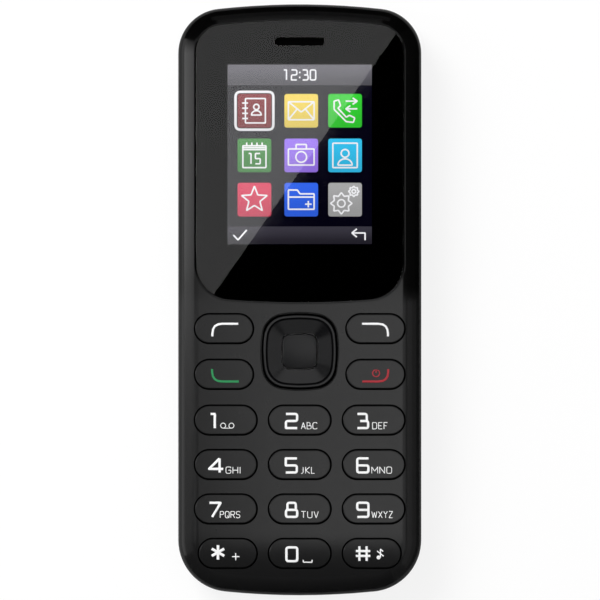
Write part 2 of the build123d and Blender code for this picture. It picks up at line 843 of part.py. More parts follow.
# Back cover: dish with the camera's hole, the loudspeaker's slots and a nail notch at its foot
cover_room = tray_block(wall, wall, seam_z + wall)
with BuildPart() as back_cover:
    add(body_form.part)
    split(bisect_by=Plane.XY.offset(seam_z - seam_gap), keep=Keep.BOTTOM)
    add(cover_room, mode=Mode.SUBTRACT)
    with BuildSketch(Plane.XY):
        with Locations((camera_x, camera_y)):
            Circle(camera_bezel_radius + fit_gap)
        with Locations((speaker_x, speaker_y)):
            with GridLocations(0, speaker_slot_pitch, 1, speaker_slot_count):
                SlotOverall(speaker_slot_length, speaker_slot_width)
    extrude(amount=wall, mode=Mode.SUBTRACT)
    with Locations((0, bottom_y + nail_notch_depth - nail_notch_radius, seam_z)):
        Sphere(nail_notch_radius, mode=Mode.SUBTRACT)
finish(back_cover, "back_cover")

# Battery, its connector on the board and the spring contacts between
with BuildPart() as battery:
    with BuildSketch(Plane.XY.offset(battery_z)):
        with Locations((0, bay_center_y)):
            RectangleRounded(battery_width, battery_length, battery_corner)
    extrude(amount=battery_thickness)
    fillet(battery.edges().filter_by(Axis.Z, reverse=True), battery_edge_radius)
finish(battery, "battery")

connector_z = board_z - connector_drop
with BuildPart() as battery_connector:
    with BuildSketch(Plane.XY.offset(connector_z)):
        with Locations((connector_x, bay_top_y)):
            Rectangle(connector_width, connector_depth, align=(Align.CENTER, Align.MIN))
    extrude(amount=connector_drop)
    chamfer(battery_connector.faces().sort_by(Axis.Z)[0].edges(), usb_shell)
finish(battery_connector, "battery_connector")

with BuildPart() as battery_contacts:
    with BuildSketch(Plane.XZ.offset(-bay_top_y)):
        with Locations((connector_x, connector_z + connector_drop / 4 + contact_height / 2)):
            with GridLocations(contact_pitch, 0, contact_count, 1):
                Rectangle(contact_width, contact_height)
    extrude(amount=battery_gap - contact_gap)
finish(battery_contacts, "battery_contacts")

# Pieces under the board: card holders and the shield can
for name, side in (("sim_holder_left", -1), ("sim_holder_right", 1)):
    with BuildPart() as sim_holder:
        with BuildSketch(Plane.XY.offset(board_z - part_height)):
            with Locations((side * sim_spacing / 2, sim_y)):
                Rectangle(sim_width, sim_length)
        extrude(amount=part_height)
        with BuildSketch(Plane.XY.offset(board_z - part_height)):
            with Locations((side * sim_spacing / 2, sim_y)):
                Rectangle(sim_width - 4 * sim_wall, sim_length - 4 * sim_wall)
        extrude(amount=part_height - sim_wall, mode=Mode.SUBTRACT)
    finish(sim_holder, name)

with BuildPart() as memory_card_slot:
    with BuildSketch(Plane.XY.offset(board_z - part_height)):
        with Locations((0, card_y)):
            Rectangle(card_width, card_length)
    extrude(amount=part_height)
    with BuildSketch(Plane.XY.offset(board_z - part_height)):
        with Locations((0, card_y)):
            Rectangle(card_width - 4 * sim_wall, card_length - 4 * sim_wall)
    extrude(amount=part_height - sim_wall, mode=Mode.SUBTRACT)
finish(memory_card_slot, "memory_card_slot")

with BuildPart() as shield_can:
    with BuildSketch(Plane.XY.offset(board_z - part_height)):
        with Locations((0, shield_y)):
            RectangleRounded(shield_width, shield_length, part_spacing)
    extrude(amount=part_height)
    with BuildSketch(Plane.XY.offset(board_z - part_height + shield_wall)):
        with Locations((0, shield_y)):
            RectangleRounded(
                shield_width - 2 * shield_wall,
                shield_length - 2 * shield_wall,
                part_spacing - shield_wall,
            )
    extrude(amount=part_height, mode=Mode.SUBTRACT)
finish(shield_can, "shield_can")

# Ports: the jack with its bore and collar, the data port's shell and its tongue
jack_front_y = top_y - rear_inset - rear_wall - port_gap - end_sag(jack_x + jack_width / 2)
jack_collar_y = top_y - jack_recess - end_sag(jack_x + jack_collar_radius)
jack_end_y = jack_collar_y - jack_bore_depth - jack_end_wall
with BuildPart() as audio_jack:
    with BuildSketch(Plane.XZ.offset(-jack_front_y)):
        with Locations((jack_x, jack_z)):
            Rectangle(jack_width, jack_height)
    extrude(amount=jack_front_y - jack_end_y)
    with BuildSketch(Plane.XZ.offset(-jack_front_y)):
        with Locations((jack_x, jack_z)):
            Circle(jack_collar_radius)
    extrude(amount=jack_front_y - jack_collar_y)
    with BuildSketch(Plane.XZ.offset(-jack_collar_y)):
        with Locations((jack_x, jack_z)):
            Circle(jack_bore_radius)
    extrude(amount=jack_bore_depth, mode=Mode.SUBTRACT)
finish(audio_jack, "audio_jack")

usb_front_y = bottom_y + wall + port_gap + end_sag(usb_width / 2)
with BuildPart() as usb_port:
    with BuildSketch(Plane.XZ.offset(-usb_front_y)):
        with Locations((0, usb_z)):
            RectangleRounded(usb_width, usb_height, usb_corner)
    extrude(amount=-usb_length)
    with BuildSketch(Plane.XZ.offset(-usb_front_y)):
        with Locations((0, usb_z)):
            RectangleRounded(usb_width - 2 * usb_shell, usb_height - 2 * usb_shell, usb_corner - usb_shell)
    extrude(amount=-usb_length + usb_shell, mode=Mode.SUBTRACT)
finish(usb_port, "usb_port")

with BuildPart() as usb_tongue:
    with BuildSketch(Plane.XZ.offset(-usb_front_y - usb_tongue_setback)):
        with Locations((0, usb_z + usb_height / 2 - usb_shell - usb_tongue_thickness)):
            Rectangle(usb_tongue_width, usb_tongue_thickness)
    extrude(amount=-usb_length + usb_shell + usb_tongue_setback)
finish(usb_tongue, "usb_tongue")

# Camera: bezel in the rear housing's floor, its window and the module behind it
camera_z = rear_floor_z + camera_bezel_lip
with BuildPart() as camera_bezel:
    with BuildSketch(Plane.XY.offset(camera_bezel_recess)):
        with Locations((camera_x, camera_y)):
            Circle(camera_bezel_radius)
    extrude(amount=rear_floor_z - camera_bezel_recess)
    fillet(camera_bezel.faces().sort_by(Axis.Z)[0].edges(), camera_bezel_recess)
    with BuildSketch(Plane.XY.offset(rear_floor_z)):
        with Locations((camera_x, camera_y)):
            Circle(camera_bezel_radius + camera_bezel_lip)
    extrude(amount=camera_bezel_lip)
    with BuildSketch(Plane.XY.offset(camera_bezel_recess)):
        with Locations((camera_x, camera_y)):
            Circle(camera_window_radius + shaft_gap)
    extrude(amount=camera_window_thickness + fit_gap, mode=Mode.SUBTRACT)
    with BuildSketch(Plane.XY.offset(camera_bezel_recess)):
        with Locations((camera_x, camera_y)):
            Circle(camera_lens_radius + fit_gap)
    extrude(amount=camera_z, mode=Mode.SUBTRACT)
finish(camera_bezel, "camera_bezel")

with BuildPart() as camera_window:
    with BuildSketch(Plane.XY.offset(camera_bezel_recess + fit_gap)):
        with Locations((camera_x, camera_y)):
            Circle(camera_window_radius)
    extrude(amount=camera_window_thickness)
finish(camera_window, "camera_window")

with BuildPart() as camera_module:
    with BuildSketch(Plane.XY.offset(camera_z)):
        with Locations((camera_x, camera_y)):
            Rectangle(camera_size, camera_size)
    extrude(amount=camera_height)
    with BuildSketch(Plane.XY.offset(camera_bezel_recess + camera_window_thickness + 2 * fit_gap)):
        with Locations((camera_x, camera_y)):
            Circle(camera_lens_radius)
    extrude(until=Until.NEXT)
finish(camera_module, "camera_module")

# Loudspeaker on its mesh, over the slots
with BuildPart() as speaker_mesh:
    with BuildSketch(Plane.XY.offset(rear_floor_z)):
        with Locations((speaker_x, speaker_y)):
            Circle(speaker_radius)
    extrude(amount=speaker_mesh_thickness)
finish(speaker_mesh, "speaker_mesh")

speaker_z = rear_floor_z + speaker_mesh_thickness
with BuildPart() as loudspeaker:
    with BuildSketch(Plane.XY.offset(speaker_z)):
        with Locations((speaker_x, speaker_y)):
            Circle(speaker_radius)
    extrude(amount=speaker_height)
    with BuildSketch(Plane.XY.offset(speaker_z)):
        with Locations((speaker_x, speaker_y)):
            Circle(speaker_radius - rear_wall)
    extrude(amount=rear_wall / 2, mode=Mode.SUBTRACT)
    chamfer(loudspeaker.faces().sort_by(Axis.Z)[-1].edges(), rear_wall / 2)
finish(loudspeaker, "loudspeaker")

# Vibration motor: can, shaft and the half-round weight that shakes the phone
motor_end_x = motor_x + motor_length / 2
weight_x = motor_end_x + weight_gap
with BuildPart() as vibration_motor:
    with BuildSketch(Plane.YZ.offset(motor_x - motor_length / 2)):
        with Locations((motor_y, motor_z)):
            Circle(motor_radius)
    extrude(amount=motor_length)
    with BuildSketch(Plane.YZ.offset(motor_end_x)):
        with Locations((motor_y, motor_z)):
            Circle(shaft_radius + shaft_gap)
    extrude(amount=-motor_radius, mode=Mode.SUBTRACT)
finish(vibration_motor, "vibration_motor")

with BuildPart() as motor_shaft:
    with BuildSketch(Plane.YZ.offset(motor_end_x - motor_radius + fit_gap)):
        with Locations((motor_y, motor_z)):
            Circle(shaft_radius)
    extrude(amount=motor_radius - fit_gap + weight_gap + weight_length)
finish(motor_shaft, "motor_shaft")

with BuildPart() as motor_weight:
    with BuildSketch(Plane.YZ.offset(weight_x)):
        with Locations((motor_y, motor_z)):
            Circle(weight_radius)
            Rectangle(2 * weight_radius, weight_radius, align=(Align.CENTER, Align.MIN), mode=Mode.SUBTRACT)
            Circle(2 * shaft_radius)
            Circle(shaft_radius, mode=Mode.SUBTRACT)
    extrude(amount=weight_length)
finish(motor_weight, "motor_weight")

# Microphone in its rubber boot, behind the hole in the foot
mic_y = bottom_y + rear_inset + rear_wall + mic_gap + end_sag(mic_x + mic_boot_half)
with BuildPart() as microphone_boot:
    with BuildSketch(Plane.XZ.offset(-mic_y)):
        with Locations((mic_x, mic_z)):
            RectangleRounded(2 * mic_boot_half, 2 * mic_boot_half, mic_boot_wall)
    extrude(amount=-mic_height - mic_boot_wall)
    with BuildSketch(Plane.XZ.offset(-mic_y)):
        with Locations((mic_x, mic_z)):
            Circle(mic_hole_radius)
    extrude(amount=-mic_boot_wall, mode=Mode.SUBTRACT)
    with BuildSketch(Plane.XZ.offset(-mic_y - mic_boot_wall)):
        with Locations((mic_x, mic_z)):
            Circle(mic_radius)
    extrude(amount=-mic_height, mode=Mode.SUBTRACT)
finish(microphone_boot, "microphone_boot")

with BuildPart() as microphone:
    with BuildSketch(Plane.XZ.offset(-mic_y - mic_boot_wall)):
        with Locations((mic_x, mic_z)):
            Circle(mic_radius)
    extrude(amount=-mic_height)
finish(microphone, "microphone")

# Antenna: plate with cut slots on its plastic carrier
with BuildPart() as antenna_carrier:
    with BuildSketch(Plane.XY.offset(rear_floor_z)):
        with Locations((0, antenna_y)):
            Rectangle(antenna_width, antenna_depth)
    extrude(amount=antenna_height)
    with BuildSketch(Plane.XY.offset(rear_floor_z)):
        with Locations((0, antenna_y)):
            Rectangle(antenna_width - 2 * bay_wall, antenna_depth - 2 * bay_wall)
    extrude(amount=antenna_height - bay_wall, mode=Mode.SUBTRACT)
finish(antenna_carrier, "antenna_carrier")

with BuildPart() as antenna_plate:
    with BuildSketch(Plane.XY.offset(rear_floor_z + antenna_height)):
        with Locations((0, antenna_y)):
            Rectangle(antenna_width, antenna_depth)
        with Locations((0, antenna_y - antenna_depth / 2)):
            with GridLocations(antenna_width / antenna_slot_count, 0, antenna_slot_count, 1):
                Rectangle(
                    antenna_slot,
                    2 * (antenna_depth - 2 * antenna_slot),
                    mode=Mode.SUBTRACT,
                )
    extrude(amount=antenna_plate_thickness)
finish(antenna_plate, "antenna_plate")

# Housing screws, driven from the back into the front housing's bosses
with BuildPart() as housing_screws:
    with BuildSketch(Plane.XY.offset(screw_seat_z - screw_head_height)):
        with Locations(*screw_places):
            Circle(screw_head_radius)
    extrude(amount=screw_head_height)
    with BuildSketch(Plane.XY.offset(screw_seat_z)):
        with Locations(*screw_places):
            Circle(screw_radius)
    extrude(amount=screw_grip + screw_bite)
finish(housing_screws, "housing_screws")
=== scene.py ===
import json
import math

import bmesh
import bpy
import numpy as np
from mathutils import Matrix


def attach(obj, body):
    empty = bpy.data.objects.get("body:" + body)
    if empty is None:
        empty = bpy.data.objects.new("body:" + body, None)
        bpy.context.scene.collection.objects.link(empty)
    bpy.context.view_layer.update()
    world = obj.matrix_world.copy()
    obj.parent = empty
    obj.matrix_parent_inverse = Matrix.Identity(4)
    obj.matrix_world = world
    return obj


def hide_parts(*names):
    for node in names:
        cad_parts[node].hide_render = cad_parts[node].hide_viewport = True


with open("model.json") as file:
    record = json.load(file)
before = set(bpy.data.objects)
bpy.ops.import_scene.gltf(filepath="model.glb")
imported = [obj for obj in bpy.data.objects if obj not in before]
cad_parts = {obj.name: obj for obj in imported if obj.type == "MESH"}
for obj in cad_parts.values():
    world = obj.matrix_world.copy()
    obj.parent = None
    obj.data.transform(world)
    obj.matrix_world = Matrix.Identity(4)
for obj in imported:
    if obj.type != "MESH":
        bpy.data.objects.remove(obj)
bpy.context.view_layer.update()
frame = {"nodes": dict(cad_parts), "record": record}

mm = 0.001
record = frame["record"]
bodyOf = {node: body for body, nodes in record["behaviour"]["bodies"].items() for node in nodes}
slotOf = {entry["node"]: entry["material_slot"] for entry in record["subparts"]}
keyNames = ["softkey_left", "softkey_right", "call_key", "end_key", "key_star", "key_0", "key_hash"]
keyNames += [f"key_{number}" for number in range(1, 10)]
print("frame loaded:", len(frame["nodes"]), "nodes")


class Value:  # a socket that takes part in sums
    def __init__(self, tree, socket):
        self.tree = tree
        self.socket = socket

    def maths(self, operation, *terms):
        return self.tree.node("ShaderNodeMath", {"operation": operation}, dict(enumerate(terms)))

    def __add__(self, other):
        return self.maths("ADD", self, other)

    def __sub__(self, other):
        return self.maths("SUBTRACT", self, other)

    def __rsub__(self, other):
        return self.maths("SUBTRACT", other, self)

    def __mul__(self, other):
        return self.maths("MULTIPLY", self, other)

    def __lt__(self, other):
        return self.maths("LESS_THAN", self, other)

    def __gt__(self, other):
        return self.maths("GREATER_THAN", self, other)

    def __pow__(self, other):
        return self.maths("POWER", self, other)

    def root(self):
        return self.maths("SQRT", self)

    def wave(self):
        return self.maths("SINE", self)

    def atLeast(self, other):
        return self.maths("MAXIMUM", self, other)

    def ramp(self, low, high):  # 0 below low, 1 above high, smooth between
        settings = {"interpolation_type": "SMOOTHSTEP"}
        inputs = {"Value": self, "From Min": low, "From Max": high}
        return self.tree.node("ShaderNodeMapRange", settings, inputs)


class Tree:  # a node tree with one way to add a node
    def __init__(self, owner):
        owner.use_nodes = True
        self.nodes = owner.node_tree.nodes
        self.links = owner.node_tree.links

    def put(self, socket, value):
        if isinstance(value, Value):
            self.links.new(value.socket, socket)
        elif socket.type == "RGBA" and len(value) == 3:
            socket.default_value = (*value, 1.0)
        else:
            socket.default_value = value

    def node(self, kind, settings, inputs, output=0):
        made = self.nodes.new(kind)
        for name, value in settings.items():
            setattr(made, name, value)
        for name, value in inputs.items():
            self.put(made.inputs[name], value)
        return Value(self, made.outputs[output])

    def place(self):  # the point on the piece, in millimetres
        point = self.node("ShaderNodeTexCoord", {}, {}, "Object")
        return self.node("ShaderNodeVectorMath", {"operation": "SCALE"}, {0: point, "Scale": 1000.0})

    def axes(self):
        split = self.node("ShaderNodeSeparateXYZ", {}, {0: self.place()})
        return [Value(self, split.socket.node.outputs[number]) for number in range(3)]

    def noise(self, size, detail=2.0):  # soft cloud with patches of about that many millimetres
        inputs = {"Vector": self.place(), "Scale": 1.0 / size, "Detail": detail}
        return self.node("ShaderNodeTexNoise", {}, inputs)

    def blend(self, share, first, second):
        settings = {"data_type": "RGBA"}
        return self.node("ShaderNodeMix", settings, {"Factor": share, 6: first, 7: second}, 2)

    def bump(self, height, strength, depth):
        inputs = {"Height": height, "Strength": strength, "Distance": depth * mm}
        return self.node("ShaderNodeBump", {}, inputs)


class Finish(Tree):  # a material on one principled shader
    def __init__(self, name):
        self.material = bpy.data.materials.new(name)
        super().__init__(self.material)
        self.shader = self.nodes["Principled BSDF"]

    def set(self, **inputs):
        for name, value in inputs.items():
            self.put(self.shader.inputs[socketNames.get(name, name.capitalize())], value)


socketNames = {
    "color": "Base Color",
    "ior": "IOR",
    "gloss": "Specular IOR Level",
    "clear": "Transmission Weight",
    "glow": "Emission Color",
    "power": "Emission Strength",
}


def shade(color, factor):
    return tuple(min(1.0, channel * factor) for channel in color)


def screenLight(level):  # a display level of 0 to 255 as light
    return ((level / 255 + 0.055) / 1.055) ** 2.4 if level > 10 else level / 3294


def screenColor(*levels):
    return tuple(screenLight(level) for level in levels)


# Plain finishes: colour and its spread, lowest and highest roughness, size and depth of the grain in mm
def plainLook(color, spread, rough, grain, depth, metal=0, gloss=0.5):
    look = {"color": color, "spread": spread, "rough": rough, "grain": grain, "depth": depth}
    return {**look, "metal": metal, "gloss": gloss, "cloudGrains": 12, "grainDetail": 1.0, "bump": 0.4}


plainFinishes = {
    "cover_plastic": plainLook((0.006, 0.006, 0.0065), 0.5, (0.3, 0.38), 0.16, 0.012),
    "inner_plastic": plainLook((0.012, 0.012, 0.013), 0.4, (0.42, 0.55), 0.3, 0.01),
    "ring_plastic": plainLook((0.005, 0.005, 0.0055), 0.4, (0.15, 0.2), 0.4, 0.001, gloss=0.3),
    "select_plastic": plainLook((0.006, 0.006, 0.0065), 0.4, (0.3, 0.34), 0.3, 0.001, gloss=0.3),
    "adhesive_tape": plainLook((0.004, 0.004, 0.004), 0.3, (0.6, 0.8), 0.2, 0.004),
    "receiver_shell": plainLook((0.55, 0.55, 0.56), 0.15, (0.25, 0.4), 0.5, 0.003, metal=1),
    "soft_rubber": plainLook((0.012, 0.012, 0.0125), 0.3, (0.6, 0.8), 0.25, 0.01),
    "lcd_frame_plastic": plainLook((0.75, 0.75, 0.72), 0.08, (0.4, 0.5), 0.5, 0.003),
    "flex_film": plainLook((0.42, 0.17, 0.02), 0.2, (0.2, 0.3), 0.4, 0.002),
    "dome_film": plainLook((0.7, 0.71, 0.73), 0.1, (0.25, 0.35), 0.8, 0.003),
    "led_body": plainLook((0.85, 0.8, 0.55), 0.15, (0.15, 0.3), 0.3, 0.002),
    "mat_rubber": plainLook((0.5, 0.5, 0.5), 0.1, (0.55, 0.7), 0.4, 0.006),
    "rocker_plastic": plainLook((0.012, 0.012, 0.012), 0.3, (0.4, 0.5), 0.3, 0.004),
    "battery_wrap": plainLook((0.03, 0.03, 0.034), 0.3, (0.3, 0.42), 0.9, 0.004),
    "connector_plastic": plainLook((0.01, 0.01, 0.01), 0.3, (0.4, 0.55), 0.2, 0.005),
    "contact_gold": plainLook((0.83, 0.6, 0.2), 0.12, (0.2, 0.3), 0.2, 0.001, metal=1),
    "jack_plastic": plainLook((0.01, 0.01, 0.01), 0.3, (0.3, 0.45), 0.2, 0.004),
    "tongue_plastic": plainLook((0.008, 0.008, 0.008), 0.3, (0.4, 0.5), 0.2, 0.003),
    "bezel_metal": plainLook((0.12, 0.12, 0.125), 0.15, (0.22, 0.3), 0.15, 0.002, metal=1),
    "speaker_plastic": plainLook((0.014, 0.014, 0.014), 0.3, (0.4, 0.5), 0.3, 0.006),
    "motor_steel": plainLook((0.56, 0.56, 0.57), 0.12, (0.22, 0.35), 0.4, 0.002, metal=1),
    "shaft_steel": plainLook((0.62, 0.62, 0.63), 0.1, (0.15, 0.25), 0.2, 0.001, metal=1),
    "weight_metal": plainLook((0.36, 0.36, 0.36), 0.2, (0.35, 0.5), 0.12, 0.006, metal=1),
    "mic_can": plainLook((0.62, 0.62, 0.63), 0.1, (0.25, 0.35), 0.3, 0.002, metal=1),
    "antenna_copper": plainLook((0.7, 0.42, 0.22), 0.15, (0.22, 0.35), 0.6, 0.002, metal=1),
    "screw_steel": plainLook((0.42, 0.42, 0.44), 0.2, (0.25, 0.4), 0.15, 0.004, metal=1),
}


def plainFinish(slot, look):
    finish = Finish(slot)
    cloud = finish.noise(look["grain"] * look["cloudGrains"])
    low, high = look["rough"]
    dark = shade(look["color"], 1 - look["spread"] / 2)
    finish.set(color=finish.blend(cloud, dark, shade(look["color"], 1 + look["spread"] / 2)))
    finish.set(roughness=cloud * (high - low) + low, metallic=look["metal"], gloss=look["gloss"])
    grain = finish.noise(look["grain"], look["grainDetail"])
    finish.set(normal=finish.bump(grain, look["bump"], look["depth"]))
    return finish.material


# Front plastic: gloss frame beside the display, fine satin round the keys, and painted shade: black and
# matt below a set level, down in the gaps
frontLook = {
    "glossColor": (0.0006, 0.0006, 0.0006),
    "satinColor": (0.0085, 0.0085, 0.0087),
    "glossRough": 0.13,
    "satinRough": 0.17,
    "satinFrom": (3.0, -1.5),
    "grain": 0.13,
    "grainDetail": 1.0,
    "grainDepth": 0.0025,
    "bump": 0.35,
    "gloss": 0.3,
    "cloud": 3.0,
    "cloudTone": 0.15,
    "cloudRough": 0.03,
    # painted shade: below this level in mm the colour is gloss black and the roughness matt
    "paintedShadeBelow": 0.0,
    "paintedShadeRough": 0.9,
}


def frontFinish(name, look):
    finish = Finish(name)
    along, up = finish.axes()[1:]
    satin = 1 - along.ramp(look["satinFrom"][1], look["satinFrom"][0])
    cloud = finish.noise(look["cloud"])
    # painted shade: below the set level the colour goes to gloss black, mixed with a random cloudy
    # darkening, and the roughness goes matt, so the gaps look shaded
    paintedShadeBelow = up < look["paintedShadeBelow"]
    tone = finish.blend(satin, look["glossColor"], look["satinColor"])
    dark = paintedShadeBelow.atLeast(cloud * look["cloudTone"])
    finish.set(color=finish.blend(dark, tone, look["glossColor"]), gloss=look["gloss"])
    outer = satin * (look["satinRough"] - look["glossRough"]) + look["glossRough"]
    outer = outer + cloud * look["cloudRough"]
    finish.set(roughness=outer.atLeast(paintedShadeBelow * look["paintedShadeRough"]))
    grain = finish.noise(look["grain"], look["grainDetail"]) * satin
    finish.set(normal=finish.bump(grain, look["bump"], look["grainDepth"]))
    return finish.material


# Stamped steel: brushed along the length with dull patches
steelLook = {
    "streak": (14, 0.5, 3),
    "detail": 3.0,
    "dark": 0.85,
    "light": (1, 1, 1.02),
    "rough": (0.24, 0.16),
    "bump": (0.3, 0.004),
}


def steelFinish(name, tone):
    finish = Finish(name)
    stretched = [axis * factor for axis, factor in zip(finish.axes(), steelLook["streak"])]
    streak = finish.node("ShaderNodeCombineXYZ", {}, dict(enumerate(stretched)))
    inputs = {"Vector": streak, "Scale": 1.0, "Detail": steelLook["detail"]}
    brush = finish.node("ShaderNodeTexNoise", {}, inputs)
    dark, light = shade((1, 1, 1), tone * steelLook["dark"]), shade(steelLook["light"], tone)
    finish.set(color=finish.blend(brush, dark, light), metallic=1.0)
    finish.set(roughness=brush * steelLook["rough"][1] + steelLook["rough"][0])
    finish.set(normal=finish.bump(brush, *steelLook["bump"]))
    return finish.material


# Woven mesh: two crossing waves of threads
meshLook = {
    "pitch": 0.32,
    "thread": (-0.2, 0.7),
    "dark": (0.0003, 0.0003, 0.0003),
    "light": (0.0015, 0.0015, 0.0015),
    "rough": (0.8, -0.2),
    "gloss": 0.02,
    "bump": (0.5, 0.05),
}


def meshFinish(name):
    finish = Finish(name)
    across, along = finish.axes()[:2]
    turn = 2 * math.pi / meshLook["pitch"]
    weave = (across * turn).wave() * (along * turn).wave()
    threads = weave.ramp(*meshLook["thread"])
    finish.set(color=finish.blend(threads, meshLook["dark"], meshLook["light"]))
    finish.set(roughness=threads * meshLook["rough"][1] + meshLook["rough"][0], gloss=meshLook["gloss"])
    finish.set(normal=finish.bump(weave, *meshLook["bump"]))
    return finish.material


# Board: solder mask with copper tracks showing through
boardLook = {
    "bend": (0.7, 1.2),
    "tracks": (2.6, 1.9),
    "edge": (0.35, 0.45),
    "cloud": 4.0,
    "dark": (0.006, 0.055, 0.02),
    "light": (0.01, 0.08, 0.03),
    "copper": (0.02, 0.17, 0.06),
    "copperShare": 0.6,
    "rough": (0.3, 0.15),
    "bump": (0.4, 0.03),
}


def boardFinish(name):
    finish = Finish(name)
    across, along = finish.axes()[:2]
    bent = across * boardLook["tracks"][0] + (along * boardLook["bend"][0]).wave() * boardLook["bend"][1]
    tracks = (bent.wave() * (along * boardLook["tracks"][1]).wave()).ramp(*boardLook["edge"])
    cloud = finish.noise(boardLook["cloud"])
    mask = finish.blend(cloud, boardLook["dark"], boardLook["light"])
    finish.set(color=finish.blend(tracks * boardLook["copperShare"], mask, boardLook["copper"]))
    finish.set(roughness=cloud * boardLook["rough"][1] + boardLook["rough"][0])
    finish.set(normal=finish.bump(tracks, *boardLook["bump"]))
    return finish.material


# Clear pieces: polished sheet with a trace of haze
clearLook = {"cloud": 9.0, "dim": 0.99, "ior": 1.38}


def clearFinish(name, tint, haze):
    finish = Finish(name)
    cloud = finish.noise(clearLook["cloud"])
    finish.set(color=finish.blend(cloud, tint, shade(tint, clearLook["dim"])))
    finish.set(roughness=cloud * haze, clear=1.0, ior=clearLook["ior"])
    return finish.material


# Camera: black barrel with a polished lens and its rings
lensLook = {
    "middle": (-10.0, 43.0),
    "ring": (1.55, 1.75),
    "lens": (0.9, 1.0),
    "barrelColor": (0.004, 0.004, 0.005),
    "ringColor": (0.12, 0.12, 0.13),
    "lensColor": (0.006, 0.004, 0.02),
    "rough": (0.42, 0.36),
    "steps": 9,
    "bump": (0.4, 0.02),
}


def cameraFinish(name):
    finish = Finish(name)
    across, along = finish.axes()[:2]
    middle = lensLook["middle"]
    reach = ((across - middle[0]) ** 2 + (along - middle[1]) ** 2).root()
    ring = (reach > lensLook["ring"][0]) * (reach < lensLook["ring"][1])
    lens = 1 - reach.ramp(*lensLook["lens"])
    barrel = finish.blend(ring, lensLook["barrelColor"], lensLook["ringColor"])
    finish.set(color=finish.blend(lens, barrel, lensLook["lensColor"]))
    finish.set(roughness=lensLook["rough"][0] - lens * lensLook["rough"][1])
    steps = (reach * lensLook["steps"]).wave() * (1 - lens)
    finish.set(normal=finish.bump(steps, *lensLook["bump"]))
    return finish.material


# Ink: printed legends and the cards
inkLook = {"cloud": 0.4, "dim": 0.92, "rough": (0.4, 0.15), "bump": (0.2, 0.002)}


def inkFinish(name, color):
    finish = Finish(name)
    cloud = finish.noise(inkLook["cloud"])
    finish.set(color=finish.blend(cloud, shade(color, inkLook["dim"]), color))
    finish.set(roughness=cloud * inkLook["rough"][1] + inkLook["rough"][0])
    finish.set(normal=finish.bump(cloud, *inkLook["bump"]))
    return finish.material


# Light: the lit pieces of the display, from low to high between the two levels on Y in span
glowLook = {
    "cloud": 1.0,
    "dark": (0.001, 0.001, 0.001),
    "light": (0.002, 0.002, 0.002),
    "rough": 0.03,
    "gloss": 0.3,
}


def glowFinish(name, low, high, span):
    finish = Finish(name)
    tone = finish.blend(finish.axes()[1].ramp(*span), low, high)
    finish.set(color=finish.blend(finish.noise(glowLook["cloud"]), glowLook["dark"], glowLook["light"]))
    finish.set(roughness=glowLook["rough"], gloss=glowLook["gloss"], glow=tone, power=1.0)
    return finish.material


# Mask: matt black of the window print and of the panel round the picture
maskLook = {
    "cloud": 2.0,
    "dark": (0.0006, 0.0006, 0.0006),
    "light": (0.0009, 0.0009, 0.0009),
    "rough": (0.8, 0.1),
}


def maskFinish(name):
    finish = Finish(name)
    cloud = finish.noise(maskLook["cloud"])
    finish.set(color=finish.blend(cloud, maskLook["dark"], maskLook["light"]))
    finish.set(roughness=cloud * maskLook["rough"][1] + maskLook["rough"][0], gloss=0.0)
    return finish.material


finishes = {slot: plainFinish(slot, look) for slot, look in plainFinishes.items()}
finishes["front_plastic"] = frontFinish("front_plastic", frontLook)
# the keys' sides below 12.6 mm, down in the gaps, get painted shade
keyLook = {**frontLook, "satinFrom": (100.0, 90.0), "paintedShadeBelow": 12.6}
finishes["key_plastic"] = frontFinish("key_plastic", keyLook)
finishes["window_acrylic"] = clearFinish("window_acrylic", (0.98, 0.98, 0.985), 0.004)
finishes["camera_glass"] = clearFinish("camera_glass", (0.8, 0.85, 0.95), 0.01)
finishes["mesh_cloth"] = meshFinish("mesh_cloth")
finishes["board_laminate"] = boardFinish("board_laminate")
finishes["holder_steel"] = steelFinish("holder_steel", 0.6)
finishes["can_steel"] = steelFinish("can_steel", 0.55)
finishes["port_steel"] = steelFinish("port_steel", 0.62)
finishes["camera_plastic"] = cameraFinish("camera_plastic")
finishes["lcd_glass"] = maskFinish("lcd_glass")
for node, piece in frame["nodes"].items():
    piece.data.materials.clear()
    piece.data.materials.append(finishes[slotOf[node]])
print("finishes made:", len(finishes))


def addPiece(name, mesh, material, body):
    mesh.materials.clear()
    mesh.materials.append(material)
    piece = bpy.data.objects.new(name, mesh)
    bpy.context.scene.collection.objects.link(piece)
    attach(piece, body)
    return piece


# Outer form in mm: the plan with its bowed ends, the crowned front, the chin and the rolled edges
form = {
    "half": 23.65,
    "end": 57.5,
    "bow": 145.0,
    "topCorner": 8.7,
    "bottomCorner": 10.1,
    "crown": 600.0,
    "chin": 75.0,
    "chinY": -44.935,
    "front": 14.1,
    "frontRoll": 4.2,
    "backRoll": 4.0,
    "keyProud": 0.12,
}


def crownHeight(x, y, rise=0.0):
    sag = form["crown"] - np.sqrt(form["crown"] ** 2 - x**2)
    below = np.minimum(y - form["chinY"], 0.0)
    return form["front"] + rise - form["chin"] + np.sqrt((form["chin"] - sag) ** 2 - below**2)


def crownNormal(x, y):
    step = 0.01
    slopeX = (crownHeight(x + step, y) - crownHeight(x - step, y)) / (2 * step)
    slopeY = (crownHeight(x, y + step) - crownHeight(x, y - step)) / (2 * step)
    normal = np.stack([-slopeX, -slopeY, np.ones_like(x)], axis=-1)
    return normal / np.linalg.norm(normal, axis=-1, keepdims=True)


